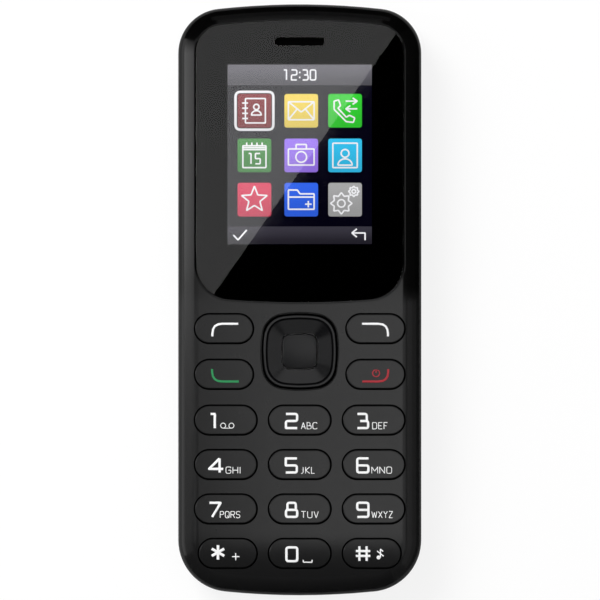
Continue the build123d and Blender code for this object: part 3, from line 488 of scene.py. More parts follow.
def planEdge(x, y):  # how far inside the outline a point is, and the way out
    corner = np.where(y >= 0, form["topCorner"], form["bottomCorner"])
    side = np.sign(y) + (y == 0)
    out = np.abs(y) - form["end"] + form["bow"]
    across = np.abs(x)
    cornerX = form["half"] - corner
    cornerY = np.sqrt((form["bow"] - corner) ** 2 - cornerX**2)
    inBow = across * cornerY <= out * cornerX
    inCorner = ~inBow & (out > cornerY)
    reach = np.hypot(across, out)
    turn = np.maximum(np.hypot(across - cornerX, out - cornerY), 1e-9)
    toSide, toBow = form["half"] - across, form["bow"] - reach
    useBow = inBow & (toBow < toSide)
    inside = np.where(inCorner, corner - turn, np.where(useBow, toBow, toSide))
    wayX = np.where(inCorner, (across - cornerX) / turn, np.where(useBow, across / reach, 1.0))
    wayY = np.where(inCorner, (out - cornerY) / turn, np.where(useBow, out / reach, 0.0))
    return inside, np.stack([wayX * np.where(x >= 0, 1, -1), wayY * side], axis=-1)


def frontNormal(x, y):
    normal = crownNormal(x, y)
    inside, way = planEdge(x, y)
    roll = np.clip(1 - inside / form["frontRoll"], 0.0, 1.0)
    lean = np.sum(normal[:, :2] * way, axis=-1)
    rest = normal[:, :2] - lean[:, None] * way
    flat = roll[:, None] * way + rest * np.sqrt(1 - roll**2)[:, None]
    height = np.sqrt(np.maximum(0.0, 1 - np.sum(flat**2, axis=-1)))
    rolled = np.concatenate([flat, height[:, None]], axis=-1)
    return np.where((roll > lean)[:, None], rolled, normal)


def backNormal(x, y):
    inside, way = planEdge(x, y)
    roll = np.clip(1 - inside / form["backRoll"], 0.0, 1.0)
    return np.concatenate([roll[:, None] * way, -np.sqrt(1 - roll**2)[:, None]], axis=-1)


def readArray(items, name, width):
    values = np.empty(len(items) * width, dtype=np.int32 if width == 1 else np.float32)
    items.foreach_get(name, values)
    return values if width == 1 else values.reshape(-1, width)


# A CAD node's copy with merged points, smooth faces and the true normals of its form or of its flats
smoothLook = {
    "merge": 0.0005,
    "sliver": 0.0002,
    "sharp": 28,
    "near": 0.998,
    "nearRolled": 0.97,
    "rolledTo": 4.25,
    "flat": 0.99999,
}


def smoothCopy(node, trueNormal=None, lowest=0.0, highest=20.0):
    mesh = frame["nodes"][node].data.copy()
    work = bmesh.new()
    work.from_mesh(mesh)
    bmesh.ops.remove_doubles(work, verts=work.verts, dist=smoothLook["merge"] * mm)
    bmesh.ops.dissolve_degenerate(work, edges=work.edges, dist=smoothLook["sliver"] * mm)
    bmesh.ops.triangulate(work, faces=work.faces)
    for face in work.faces:
        face.smooth = True
    for edge in work.edges:
        edge.smooth = edge.calc_face_angle(0.0) < math.radians(smoothLook["sharp"])
    work.to_mesh(mesh)
    work.free()
    normals = readArray(mesh.corner_normals, "vector", 3)
    corners = readArray(mesh.loops, "vertex_index", 1)
    spot = readArray(mesh.vertices, "co", 3)[corners].astype(float) / mm
    facing = np.repeat(readArray(mesh.polygons, "normal", 3), 3, axis=0)
    if trueNormal:
        real = trueNormal(spot[:, 0], spot[:, 1])
        near = np.sum(facing * real, axis=-1)
        rolled = planEdge(spot[:, 0], spot[:, 1])[0] < smoothLook["rolledTo"]
        fits = (near > smoothLook["near"]) | ((near > smoothLook["nearRolled"]) & rolled)
        fits &= (spot[:, 2] > lowest) & (spot[:, 2] < highest)
    else:
        real = facing
        fits = np.abs(facing[:, 2]) > smoothLook["flat"]
    whole = np.repeat(fits.reshape(-1, 3).all(axis=1), 3)
    normals[whole] = real[whole]
    mesh.normals_split_custom_set(normals.tolist())
    slot = slotOf[node]
    piece = addPiece(f"{node}_smooth", mesh, finishes[slot], bodyOf[node])
    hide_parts(node)


smoothCopy("front_housing", frontNormal, lowest=4.0)
smoothCopy("back_cover", backNormal, highest=4.0)
for keyName in keyNames:
    smoothCopy(keyName, crownNormal, lowest=12.0)
for node in ("nav_ring", "select_key", "display_window", "camera_bezel"):
    smoothCopy(node)
print("smooth copies made")


# Strokes: paths of points in mm with rounded corners, as flat ribbons laid on a surface
strokeLook = {
    "sharpTurn": 0.2,
    "endShare": 0.9,
    "midShare": 0.48,
    "steps": 4,
    "sides": 2,
    "height": 0.03,
    "lift": 0.3,
}


def roundCorners(path, radius):
    closed = path[0] == path[-1]
    points = [np.array(point[:2], dtype=float) for point in path]
    count = len(points)
    smooth = [] if closed else [points[0]]
    for number in range(0 if closed else 1, count - 1):
        here = points[number]
        before = points[count - 2 if number == 0 else number - 1] - here
        after = points[number + 1] - here
        turn = radius * strokeLook["sharpTurn"] if path[number][2:] == ("s",) else radius
        ends = () if closed else (0, count - 1)
        sides = (number - 1, number + 1)
        shares = [strokeLook["endShare" if side in ends else "midShare"] for side in sides]
        cut = min(turn, np.linalg.norm(before) * shares[0], np.linalg.norm(after) * shares[1])
        start = here + before / np.linalg.norm(before) * cut
        stop = here + after / np.linalg.norm(after) * cut
        for step in range(strokeLook["steps"] + 1):
            share = step / strokeLook["steps"]
            smooth.append((1 - share) ** 2 * start + 2 * share * (1 - share) * here + share**2 * stop)
    if not closed:
        smooth.append(points[-1])
    return smooth, closed


def strokeMesh(name, paths, width, radius, surface):
    curve = bpy.data.curves.new(name, "CURVE")
    curve.dimensions = "3D"
    curve.bevel_depth = width / 2 * mm
    curve.bevel_resolution = strokeLook["sides"]
    curve.use_fill_caps = True
    for path in paths:
        points, closed = roundCorners(path, radius)
        spline = curve.splines.new("POLY")
        spline.points.add(len(points) - 1)
        spline.use_cyclic_u = closed
        for spot, point in zip(spline.points, points):
            spot.co = (point[0] * mm, point[1] * mm, 0, 1)
    drawn = bpy.data.objects.new(name, curve)
    mesh = bpy.data.meshes.new_from_object(drawn)
    bpy.data.objects.remove(drawn)
    bpy.data.curves.remove(curve)
    height = strokeLook["height"]
    for vertex in mesh.vertices:
        level = float(surface(vertex.co.x / mm, vertex.co.y / mm)) + strokeLook["lift"] * height
        vertex.co.z = vertex.co.z * height / width + level * mm
    return mesh


# Letters and figures on a grid of 8 by 12, in hexadecimal, with an s after each sharp corner
strokes = {
    "0": "06 0c 8c 80 00 06",
    "1": "0c 4cs 40",
    "2": "0c 8c 86 06 00s 80",
    "3": "0c 7c 76|26 86 80 00",
    "4": "6cs 03s 83|6c 60",
    "5": "8c 0cs 06s 86 80 00",
    "6": "8c 0c 00 80 86 06",
    "7": "0c 8cs 20",
    "8": "06 86 80 00 06|16 1c 7c 76",
    "9": "86 06 0c 8c 80 00",
    "#": "20 2c|60 6c|04 84|08 88",
    "+": "42 4a|06 86",
    ":": "42 44|48 4a",
    "A": "00 4cs 80|24 64",
    "B": "00s 0cs 6c 66 06s 66 86 80 00s",
    "C": "8a 8c 0c 00 80 82",
    "D": "00s 0cs 8c 80 00s",
    "E": "8c 0cs 00s 80|06 66",
    "F": "8c 0cs 00|06 66",
    "G": "8a 8c 0c 00 80 86s 46",
    "H": "00 0c|80 8c|06 86",
    "I": "40 4c",
    "J": "6c 60 00",
    "K": "00 0c|8c 06 80",
    "L": "0c 00s 80",
    "M": "00 0cs 44s 8cs 80",
    "N": "00 0cs 80s 8c",
    "O": "06 0c 8c 80 00 06",
    "P": "00 0cs 8c 86 06",
    "Q": "06 0c 8c 80 00 06|44 80",
    "R": "00 0cs 8c 86 06|46 80",
    "S": "8a 8c 0c 06 86 80 00 02",
    "T": "0c 8c|4c 40",
    "U": "0c 00 80 8c",
    "V": "0c 40s 8c",
    "W": "0c 20s 4as 60s 8c",
    "X": "00 8c|0c 80",
    "Y": "0c 46 8c|46 40",
    "Z": "0c 8cs 00s 80",
}


gridSize = (8, 12)
# Width of a letter as a share of a full cell
letterShares = {"I": 0.1, ":": 0.25, "J": 0.7, "E": 0.85, "F": 0.8}
letterShares.update({"L": 0.8, "P": 0.9, "S": 0.9, "M": 1.2, "W": 1.4})


def glyphPaths(sign, left, bottom, width, height):
    cellX, cellY = gridSize
    paths = []
    for stroke in strokes[sign].split("|"):
        spots = [(int(spot[0], 16), int(spot[1], 16), spot[2:]) for spot in stroke.split()]
        path = [(left + x / cellX * width, bottom + y / cellY * height, sharp) for x, y, sharp in spots]
        paths.append(path)
    return paths


def wordPaths(word, left, bottom, width, height, space=0.42):
    shares = [letterShares.get(sign, 1.0) for sign in word]
    cell = width / (sum(shares) + space * (len(word) - 1))
    paths = []
    for sign, share in zip(word, shares):
        paths += glyphPaths(sign, left, bottom, cell * share, height)
        left += cell * (share + space)
    return paths


def circlePath(x, y, radius, steps=20):
    turns = [2 * math.pi * step / steps for step in range(steps)]
    path = [(x + radius * math.cos(turn), y + radius * math.sin(turn)) for turn in turns]
    return path + path[:1]


def keyTop(x, y):
    return crownHeight(np.float64(x), np.float64(y), form["keyProud"])


# Legends of the keys: figures at the left of each key, letters beside them, signs where a key has one
legendLook = {
    "rows": (-23.36, -31.99, -40.62),
    "figureBottom": -1.55,
    "figureHeight": 2.74,
    "figureStroke": 0.48,
    "figureCorner": 0.42,
    "letterBottom": -1.71,
    "letterHeight": 1.24,
    "letterStroke": 0.145,
    "letterCorner": 0.34,
    "signStroke": 0.43,
    "signCorner": 1.9,
    "thinStroke": 0.22,
    "thinCorner": 0.1,
    "ringCorner": 0.05,
    "white": (0.93, 0.93, 0.93),
    "green": (0.02, 0.26, 0.085),
    "red": (0.38, 0.018, 0.03),
}
# Left side and width of each figure, then its letters with their left side and width
numberLegends = [
    (-17.3, 1.64, "", 0.0, 0.0),
    (-2.67, 2.17, "ABC", 0.3, 3.04),
    (11.2, 2.1, "DEF", 14.14, 2.89),
    (-17.62, 2.75, "GHI", -14.33, 2.8),
    (-2.7, 2.15, "JKL", 0.25, 2.65),
    (11.18, 2.18, "MNO", 13.99, 3.87),
    (-17.53, 2.18, "PQRS", -15.45, 3.82),
    (-2.66, 2.18, "TUV", 0.3, 3.33),
    (11.18, 2.18, "WXYZ", 13.99, 4.06),
]
inks = {tone: inkFinish(f"{tone}_ink", legendLook[tone]) for tone in ("white", "green", "red")}


def addLegend(key, part, paths, width, tone, radius):
    name = f"{key}_{part}"
    mesh = strokeMesh(name, paths, width, radius, keyTop)
    addPiece(name, mesh, inks[tone], bodyOf[key])


figureStroke, letterStroke = legendLook["figureStroke"], legendLook["letterStroke"]
for number, (left, width, letters, lettersLeft, lettersWidth) in enumerate(numberLegends):
    key = f"key_{number + 1}"
    keyY = legendLook["rows"][number // 3]
    bottom = keyY + legendLook["figureBottom"]
    figure = glyphPaths(str(number + 1), left, bottom, width, legendLook["figureHeight"])
    addLegend(key, "figure", figure, figureStroke, "white", legendLook["figureCorner"])
    if letters:
        bottom = keyY + legendLook["letterBottom"]
        paths = wordPaths(letters, lettersLeft, bottom, lettersWidth, legendLook["letterHeight"])
        addLegend(key, "letters", paths, letterStroke, "white", legendLook["letterCorner"])

tapeLook = {"reels": (-14.88, -13.26), "level": -24.43, "radius": 0.49}
tape = [circlePath(reel, tapeLook["level"], tapeLook["radius"]) for reel in tapeLook["reels"]]
tape.append([(reel, tapeLook["level"] - tapeLook["radius"]) for reel in tapeLook["reels"]])
addLegend("key_1", "tape_sign", tape, letterStroke, "white", legendLook["ringCorner"])

# Bottom row: a glyph's box is its left, bottom, width and height
bottomLook = {
    "star": {"middle": (-15.87, -49.05), "reach": 1.4, "arms": 3, "stroke": 0.54},
    "plus": (-13.16, -50.93, 1.45, 2.1),
    "zero": (-2.57, -50.77, 2.1, 2.68),
    "space": [(0.69, -50.5), (0.69, -50.97), (2.4, -50.97), (2.4, -50.5)],
    "hash": {"box": (10.9, -50.7, 2.8, 2.85), "stroke": 0.46},
    "note": {
        "head": (15.3, -50.05),
        "radii": (0.26, 0.1),
        "stem": [(15.68, -50.05), (15.68, -48.45), (16.18, -48.85)],
        "bar": [(15.02, -48.77), (16.3, -49.8)],
        "stroke": 0.24,
    },
}
thinStroke, thinCorner = legendLook["thinStroke"], legendLook["thinCorner"]
starLook, hashLook, noteLook = bottomLook["star"], bottomLook["hash"], bottomLook["note"]
starX, starY = starLook["middle"]
star = []
for arm in range(starLook["arms"]):
    turn = math.pi / 2 + math.pi * arm / starLook["arms"]
    reachX, reachY = starLook["reach"] * math.cos(turn), starLook["reach"] * math.sin(turn)
    star.append([(starX + side * reachX, starY + side * reachY) for side in (-1, 1)])
addLegend("key_star", "figure", star, starLook["stroke"], "white", thinCorner)
addLegend("key_star", "plus", glyphPaths("+", *bottomLook["plus"]), thinStroke, "white", thinCorner)
zero = glyphPaths("0", *bottomLook["zero"])
addLegend("key_0", "figure", zero, figureStroke, "white", legendLook["figureCorner"])
addLegend("key_0", "space_sign", [bottomLook["space"]], thinStroke, "white", thinCorner)
hashPaths = glyphPaths("#", *hashLook["box"])
addLegend("key_hash", "figure", hashPaths, hashLook["stroke"], "white", thinCorner)
note = [circlePath(*noteLook["head"], radius) for radius in noteLook["radii"]]
note += [noteLook["stem"], noteLook["bar"]]
addLegend("key_hash", "quiet_sign", note, noteLook["stroke"], "white", thinCorner)

# Bent signs of the soft, call and end keys: outer and inner end on X, tip and bar on Y
bentSigns = {
    "softkey_left": {"ends": (-16.95, -11.95), "levels": (-7.1, -4.66), "tone": "white"},
    "softkey_right": {"ends": (17.15, 12.1), "levels": (-7.1, -4.66), "tone": "white"},
    "call_key": {"ends": (-17.0, -11.85), "levels": (-13.45, -15.87), "tone": "green"},
    "end_key": {"ends": (17.2, 12.15), "levels": (-13.45, -15.87), "tone": "red"},
}
for key, sign in bentSigns.items():
    (outer, inner), (tip, bar) = sign["ends"], sign["levels"]
    paths = [[(outer, tip), (outer, bar), (inner, bar)]]
    addLegend(key, "sign", paths, legendLook["signStroke"], sign["tone"], legendLook["signCorner"])

powerLook = {
    "middle": (14.84, -14.25),
    "radius": 0.68,
    "start": 112,
    "turn": 316,
    "steps": 20,
    "bar": (-13.5, -14.2),
}
powerX, powerY = powerLook["middle"]
ring = []
for step in range(powerLook["steps"] + 1):
    turn = math.radians(powerLook["start"] + powerLook["turn"] * step / powerLook["steps"])
    reachX, reachY = powerLook["radius"] * math.cos(turn), powerLook["radius"] * math.sin(turn)
    ring.append((powerX + reachX, powerY + reachY))
power = [ring, [(powerX, level) for level in powerLook["bar"]]]
addLegend("end_key", "power_sign", power, thinStroke, "red", legendLook["ringCorner"])
print("legends made")


# Flat plates with rounded corners, from a grid of one face
cornerSteps = 6


def plateMesh(name, x, y, width, height, radius, low, high):
    work = bmesh.new()
    bmesh.ops.create_grid(work, x_segments=1, y_segments=1, size=0.5)
    bmesh.ops.scale(work, vec=(width * mm, height * mm, 1), verts=work.verts)
    if radius:
        bmesh.ops.bevel(
            work,
            geom=work.verts[:],
            affect="VERTICES",
            offset=radius * mm,
            offset_type="OFFSET",
            segments=cornerSteps,
            profile=0.5,
            material=-1,
        )
    grown = bmesh.ops.extrude_face_region(work, geom=work.faces[:])
    lifted = [item for item in grown["geom"] if isinstance(item, bmesh.types.BMVert)]
    bmesh.ops.translate(work, vec=(0, 0, (high - low) * mm), verts=lifted)
    bmesh.ops.translate(work, vec=(x * mm, y * mm, low * mm), verts=work.verts)
    bmesh.ops.recalc_face_normals(work, faces=work.faces)
    mesh = bpy.data.meshes.new(name)
    work.to_mesh(mesh)
    work.free()
    return mesh


# Picture on the display: bars, nine tiles with plain signs, a clock and the two soft-key signs
screenLook = {
    "middle": (0.0, 28.3),
    "size": (28.03, 35.04),
    "panel": 11.85,
    "layers": {"back": 0.01, "foot": 0.02, "bar": 0.03, "tile": 0.05},
    "background": (4, 3, 16),
    "backgroundLift": 1.3,
    "backgroundSpan": (11.0, 45.0),
    "white": (245, 245, 248),
    "titleBar": (43.7, 3.98, (80, 79, 85), (106, 104, 112)),
    "softBar": (12.56, 3.4, (34, 32, 40), (58, 56, 66)),
    "columns": (-8.81, 0.29, 8.81),
    "rows": (36.76, 28.08, 19.48),
    "tile": 6.55,
    "tileCorner": 0.5,
    "tileDim": 0.78,
    "pick": 3.68,
    "signSize": 2.5,
    "signStroke": 0.3,
    "signCorner": 0.15,
    "signDim": 0.9,
    "tiles": [
        (140, 52, 58),
        (250, 222, 96),
        (54, 214, 54),
        (72, 146, 72),
        (160, 122, 244),
        (56, 198, 244),
        (222, 66, 98),
        (52, 104, 240),
        (172, 172, 172),
    ],
}


def starPath(points, outer, inner, turn=math.pi / 2):
    path = []
    for step in range(2 * points):
        reach = outer if step % 2 == 0 else inner
        angle = turn + math.pi * step / points
        path.append((reach * math.cos(angle), reach * math.sin(angle)))
    return path + path[:1]


def boxPath(left, bottom, right, top):
    return [(left, bottom), (left, top), (right, top), (right, bottom), (left, bottom)]


def headPaths(x, y, size):  # a head over shoulders
    steps, wide, high = 12, 0.62 * size, 0.55 * size
    turns = [math.pi * step / steps for step in range(steps + 1)]
    shoulders = [(x + wide * math.cos(turn), y - wide + high * math.sin(turn)) for turn in turns]
    return [circlePath(x, y + 0.4 * size, 0.34 * size), shoulders + shoulders[:1]]


def arrowPaths(x, y, reach):  # a short arrow along X, to the right where reach is above 0
    tip, barb, spread = x + reach / 2, reach * 0.4, 0.25
    head = [(tip - barb, y + spread), (tip, y), (tip - barb, y - spread)]
    return [[(x - reach / 2, y), (tip, y)], head]


def wheelPaths(x, y, size):  # a toothed wheel
    teeth, valley, hub = 8, 0.7, 0.35
    rim = [(x + size * u, y + size * v) for u, v in starPath(teeth, 1.0, valley)]
    return [rim, circlePath(x, y, hub * size)]


# Signs of the nine tiles, on a square from -1 to 1
ringSpots = (-0.6, -0.2, 0.2, 0.6)
handset = [(-0.85, 0.75), (-0.5, 0.85), (-0.35, 0.4), (-0.55, 0.2), (0.1, -0.5), (0.35, -0.35)]
handset += [(0.75, -0.55), (0.65, -0.9), (0.1, -0.85), (-0.85, 0.1), (-0.85, 0.75)]
folder = [(-1.0, -0.75), (-1.0, 0.75), (-0.3, 0.75), (-0.1, 0.45)]
folder += [(1.0, 0.45), (1.0, -0.75), (-1.0, -0.75)]
tileSigns = [
    [boxPath(-0.7, -0.95, 0.85, 0.95)]
    + [[(-0.95, y), (-0.5, y)] for y in ringSpots]
    + headPaths(0.15, 0.05, 0.62),
    [boxPath(-1.0, -0.7, 1.0, 0.7), [(-1.0, 0.7), (0.0, -0.1), (1.0, 0.7)]]
    + [[(side, -0.7), (side * 0.35, 0.1)] for side in (-1.0, 1.0)],
    [handset] + arrowPaths(0.5, 0.75, 0.9) + arrowPaths(0.5, 0.15, -0.9),
    [boxPath(-0.9, -0.95, 0.9, 0.75)]
    + [[(-0.9, y), (0.9, y)] for y in (0.45, 0.6)]
    + [[(x, 1.0), (x, 0.75)] for x in ringSpots]
    + wordPaths("15", -0.45, -0.65, 0.9, 0.8),
    [boxPath(-1.0, -0.75, 1.0, 0.5), circlePath(0.0, -0.12, 0.42)]
    + [[(-0.4, 0.5), (-0.4, 0.85), (0.4, 0.85), (0.4, 0.5)]],
    [boxPath(-0.95, -0.95, 0.95, 0.95)] + headPaths(0.0, -0.2, 0.9),
    [starPath(5, 1.05, 0.45)],
    [folder, [(-1.0, 0.2), (1.0, 0.2)], [(0.3, -0.35), (0.8, -0.35)], [(0.55, -0.6), (0.55, -0.1)]],
    wheelPaths(-0.29, -0.29, 0.84) + wheelPaths(0.68, 0.64, 0.42),
]


def addScreen(name, mesh, low, high, span):
    return addPiece(name, mesh, glowFinish(name, low, high, span), "chassis")


screenX, screenY = screenLook["middle"]
layers = {layer: screenLook["panel"] + rise for layer, rise in screenLook["layers"].items()}
white = screenColor(*screenLook["white"])
dark = screenColor(*screenLook["background"])
size = screenLook["size"]
mesh = plateMesh("screen_background", screenX, screenY, *size, 0, layers["back"], layers["foot"])
light = shade(dark, screenLook["backgroundLift"])
addScreen("screen_background", mesh, dark, light, screenLook["backgroundSpan"])
for bar in ("titleBar", "softBar"):
    middle, height, low, high = screenLook[bar]
    mesh = plateMesh(bar, screenX, middle, size[0], height, 0, layers["foot"], layers["bar"])
    span = (middle - height / 2, middle + height / 2)
    addScreen(bar, mesh, screenColor(*low), screenColor(*high), span)
tile, reach = screenLook["tile"], screenLook["signSize"]
for number, tone in enumerate(screenLook["tiles"]):
    row, column = divmod(number, 3)
    x, y = screenLook["columns"][column], screenLook["rows"][row]
    name = f"tile_{number + 1}"
    mesh = plateMesh(name, x, y, tile, tile, screenLook["tileCorner"], layers["foot"], layers["tile"])
    light = screenColor(*tone)
    addScreen(name, mesh, shade(light, screenLook["tileDim"]), light, (y - tile / 2, y + tile / 2))
    name += "_sign"
    paths = [[(x + spot[0] * reach, y + spot[1] * reach) for spot in path] for path in tileSigns[number]]
    look = screenLook["signStroke"], screenLook["signCorner"]
    mesh = strokeMesh(name, paths, *look, lambda x, y: layers["tile"])
    addScreen(name, mesh, shade(white, screenLook["signDim"]), white, (y - reach, y + reach))

pickX, pickY, pick = screenLook["columns"][0], screenLook["rows"][0], screenLook["pick"]
screenSigns = {
    "picked_frame": {
        "paths": [boxPath(pickX - pick, pickY - pick, pickX + pick, pickY + pick)],
        "stroke": 0.5,
        "corner": 1.0,
        "dim": 0.85,
        "span": (33.0, 40.5),
    },
    "clock": {
        "paths": wordPaths("12:30", -3.1, 42.75, 6.2, 1.95),
        "stroke": 0.3,
        "corner": 0.3,
        "span": (42.0, 45.0),
    },
    "check_sign": {
        "paths": [[(-12.9, 12.6), (-12.0, 11.65), (-10.3, 13.6)]],
        "stroke": 0.32,
        "corner": 0.1,
        "span": (11.0, 14.0),
    },
    "back_sign": {
        "paths": [
            [(12.7, 11.6), (12.7, 13.0), (10.2, 13.0)],
            [(11.1, 13.8), (10.15, 13.0), (11.1, 12.2)],
        ],
        "stroke": 0.3,
        "corner": 0.1,
        "span": (11.0, 14.0),
    },
}
for name, sign in screenSigns.items():
    mesh = strokeMesh(name, sign["paths"], sign["stroke"], sign["corner"], lambda x, y: layers["bar"])
    addScreen(name, mesh, shade(white, sign.get("dim", 1.0)), white, sign["span"])
print("display picture made")


# Black print on the back of the window, open over the display and the earpiece
printLook = {
    "half": 20.05,
    "top": 54.25,
    "bottom": -0.35,
    "topBow": 130.0,
    "bottomBow": 180.0,
    "topCorner": 5.3,
    "bottomCorner": 6.9,
    "low": 12.903,
    "high": 12.92,
    "ear": (0.0, 50.2, 9.7, 1.62),
    "screenGap": 0.05,
    "merge": 0.001,
    "cornerSteps": 10,
    "bowSteps": 16,
    "slotSteps": 8,
}


def arcPoints(x, y, radius, start, stop, steps):
    turns = [start + (stop - start) * step / steps for step in range(steps + 1)]
    return [(x + radius * math.cos(turn), y + radius * math.sin(turn)) for turn in turns]


def endPoints(half, end, bow, corner):  # the upper end of a plan, from its right side to its left
    cornerX = half - corner
    cornerY = end - bow + math.sqrt((bow - corner) ** 2 - cornerX**2)
    lean = math.atan2(cornerY - end + bow, cornerX)
    steps = printLook["cornerSteps"]
    points = arcPoints(cornerX, cornerY, corner, 0, lean, steps)
    points += arcPoints(0, end - bow, bow, lean, math.pi - lean, printLook["bowSteps"])
    return points + arcPoints(-cornerX, cornerY, corner, math.pi - lean, math.pi, steps)


def slotPoints(x, y, length, width):
    radius, reach, steps = width / 2, (length - width) / 2, printLook["slotSteps"]
    right = arcPoints(x + reach, y, radius, -math.pi / 2, math.pi / 2, steps)
    return right + arcPoints(x - reach, y, radius, math.pi / 2, 1.5 * math.pi, steps)


def addRim(work, points, level):
    spots = [work.verts.new((x * mm, y * mm, level * mm)) for x, y in points]
    for number, spot in enumerate(spots):
        work.edges.new((spots[number - 1], spot))


half = printLook["half"]
upper = endPoints(half, printLook["top"], printLook["topBow"], printLook["topCorner"])
lower = endPoints(half, -printLook["bottom"], printLook["bottomBow"], printLook["bottomCorner"])
halfWidth, halfHeight = (side / 2 + printLook["screenGap"] for side in screenLook["size"])
signs = ((1, 1), (-1, 1), (-1, -1), (1, -1))
opening = [(screenX + halfWidth * x, screenY + halfHeight * y) for x, y in signs]
work = bmesh.new()
for rim in (upper + [(-x, -y) for x, y in lower], opening, slotPoints(*printLook["ear"])):
    addRim(work, rim, printLook["low"])
bmesh.ops.remove_doubles(work, verts=work.verts, dist=printLook["merge"] * mm)
rims = work.edges[:]
bmesh.ops.triangle_fill(work, use_beauty=True, use_dissolve=False, edges=rims, normal=(0, 0, 1))
grown = bmesh.ops.extrude_face_region(work, geom=work.faces[:])
lifted = [item for item in grown["geom"] if isinstance(item, bmesh.types.BMVert)]
bmesh.ops.translate(work, vec=(0, 0, (printLook["high"] - printLook["low"]) * mm), verts=lifted)
bmesh.ops.recalc_face_normals(work, faces=work.faces)
printMesh = bpy.data.meshes.new("window_print")
work.to_mesh(printMesh)
work.free()
addPiece("window_print", printMesh, maskFinish("window_print"), "chassis")
print("window print made:", len(printMesh.polygons), "faces")


# Floor, world, lamps and cards, in metres
leftTurn = (0, -90, 0)
stageLook = {
    "floor": (0.95, 0.95, 0.95),
    "floorDim": 0.99,
    "floorCloud": 40.0,
    "floorRough": 0.8,
    "floorWhite": 0.85,
    "floorSize": 3.0,
    "floorLevel": -0.0002,
    "horizon": 0.3,
    "skyFrom": (0.6, 0.85),
    "windowLamp": {
        "corners": [(-0.0305, 0.0), (0.2, 0.33), (-0.55, 0.33), (-0.55, 0.0)],
        "level": 1.5,
        "light": 1.4,
    },
    "lamps": {
        "keyLamp": {"at": (0.179, -0.092, 1.5), "size": (0.55, 0.176), "light": 2.0},
        "sideLamp": {"at": (0.25, 0.16, 1.5), "size": (0.41, 0.3), "light": 2.0},
        "rightLamp": {"at": (0.72, 0.0, 1.5), "size": (0.45, 1.3), "light": 0.8},
        "leftLamp": {"at": (-0.72, -0.06, 1.5), "size": (0.4, 0.3), "light": 0.7},
        "topLamp": {"at": (0.0, 0.7, 1.5), "size": (0.9, 0.5), "light": 1.2},
        "farLamp": {"at": (0.0, 1.25, 1.5), "size": (0.6, 0.6), "light": 0.45},
        "footLamp": {"at": (0.0, -0.72, 1.5), "size": (0.9, 0.25), "light": 0.7},
        "leftHighLamp": {"at": (-0.6, 0.0375, 0.5), "size": (1.0, 0.075), "light": 2.9, "turn": leftTurn},
        "leftFadeLamp": {"at": (-0.6, 0.1025, 0.5), "size": (1.0, 0.055), "light": 2.3, "turn": leftTurn},
        "leftMidLamp": {"at": (-0.6, 0.155, 0.5), "size": (1.0, 0.05), "light": 1.7, "turn": leftTurn},
        "leftDimLamp": {"at": (-0.6, 0.2025, 0.5), "size": (1.0, 0.045), "light": 1.1, "turn": leftTurn},
        "leftFarLamp": {"at": (-0.6, 0.2875, 0.5), "size": (1.0, 0.125), "light": 0.6, "turn": leftTurn},
        "leftLowLamp": {"at": (-0.6, -0.26, 0.5), "size": (1.0, 0.5), "light": 0.1, "turn": leftTurn},
        "fillLamp": {"at": (-0.6, 0.75, 0.95), "size": (0.8, 0.6), "light": 12.0, "turn": (0, -45, -50)},
    },
    "cardFoot": 0.005,
    "cards": {
        "rightHighCard": {"at": (0.031, 0.04), "size": (0.08, 0.045), "turn": 90.0, "tone": 0.02},
        "rightLowCard": {"at": (0.031, -0.04), "size": (0.08, 0.021), "turn": 90.0, "tone": 0.5},
        "rightMidCard": {"at": (0.0307, -0.04), "size": (0.08, 0.0115), "turn": 90.0, "tone": 0.27},
        "rightFootCard": {"at": (0.0305, -0.04), "size": (0.08, 0.006), "turn": 90.0, "tone": 0.05},
        "topCard": {"at": (0.0, 0.066), "size": (0.046, 0.009), "turn": 0.0, "tone": 0.03},
        "topHighCard": {"at": (0.0, 0.0665), "size": (0.046, 0.016), "turn": 0.0, "tone": 0.55},
        "cornerCard": {"at": (-0.028, 0.062), "size": (0.02, 0.027), "turn": 35.0, "tone": 0.02},
        "rightCornerCard": {"at": (0.0275, 0.0635), "size": (0.02, 0.027), "turn": -40.0, "tone": 0.02},
        "rightFootCornerCard": {"at": (0.0285, -0.063), "size": (0.02, 0.027), "turn": 40.0, "tone": 0.1},
        "footCornerCard": {"at": (-0.029, -0.062), "size": (0.02, 0.027), "turn": -40.0, "tone": 0.02},
        "footCard": {"at": (0.0, -0.066), "size": (0.062, 0.045), "turn": 0.0, "tone": 0.02},
        "groundCard": {"at": (0.0, 0.0), "size": (0.1, 0.19), "turn": 0.0, "tone": 0.25, "level": -0.0001},
    },
}


for name, lamp in stageLook["lamps"].items():
    light = bpy.data.lights.new(name, "AREA")
    light.shape = "RECTANGLE"
    light.size, light.size_y = lamp["size"]
    light.energy = lamp["light"] * math.pi * lamp["size"][0] * lamp["size"][1]
    piece = bpy.data.objects.new(name, light)
    piece.location = lamp["at"]
    piece.rotation_euler = [math.radians(turn) for turn in lamp.get("turn", (0, 0, 0))]
    piece.visible_camera = piece.visible_transmission = False
    piece.visible_glossy = name != "fillLamp"
    bpy.context.scene.collection.objects.link(piece)


def stagePlane(name, width, height, material):
    work = bmesh.new()
    bmesh.ops.create_grid(work, x_segments=1, y_segments=1, size=0.5)
    bmesh.ops.scale(work, vec=(width, height, 1), verts=work.verts)
    mesh = bpy.data.meshes.new(name)
    work.to_mesh(mesh)
    work.free()
    mesh.materials.append(material)
    piece = bpy.data.objects.new(name, mesh)
    bpy.context.scene.collection.objects.link(piece)
    return piece


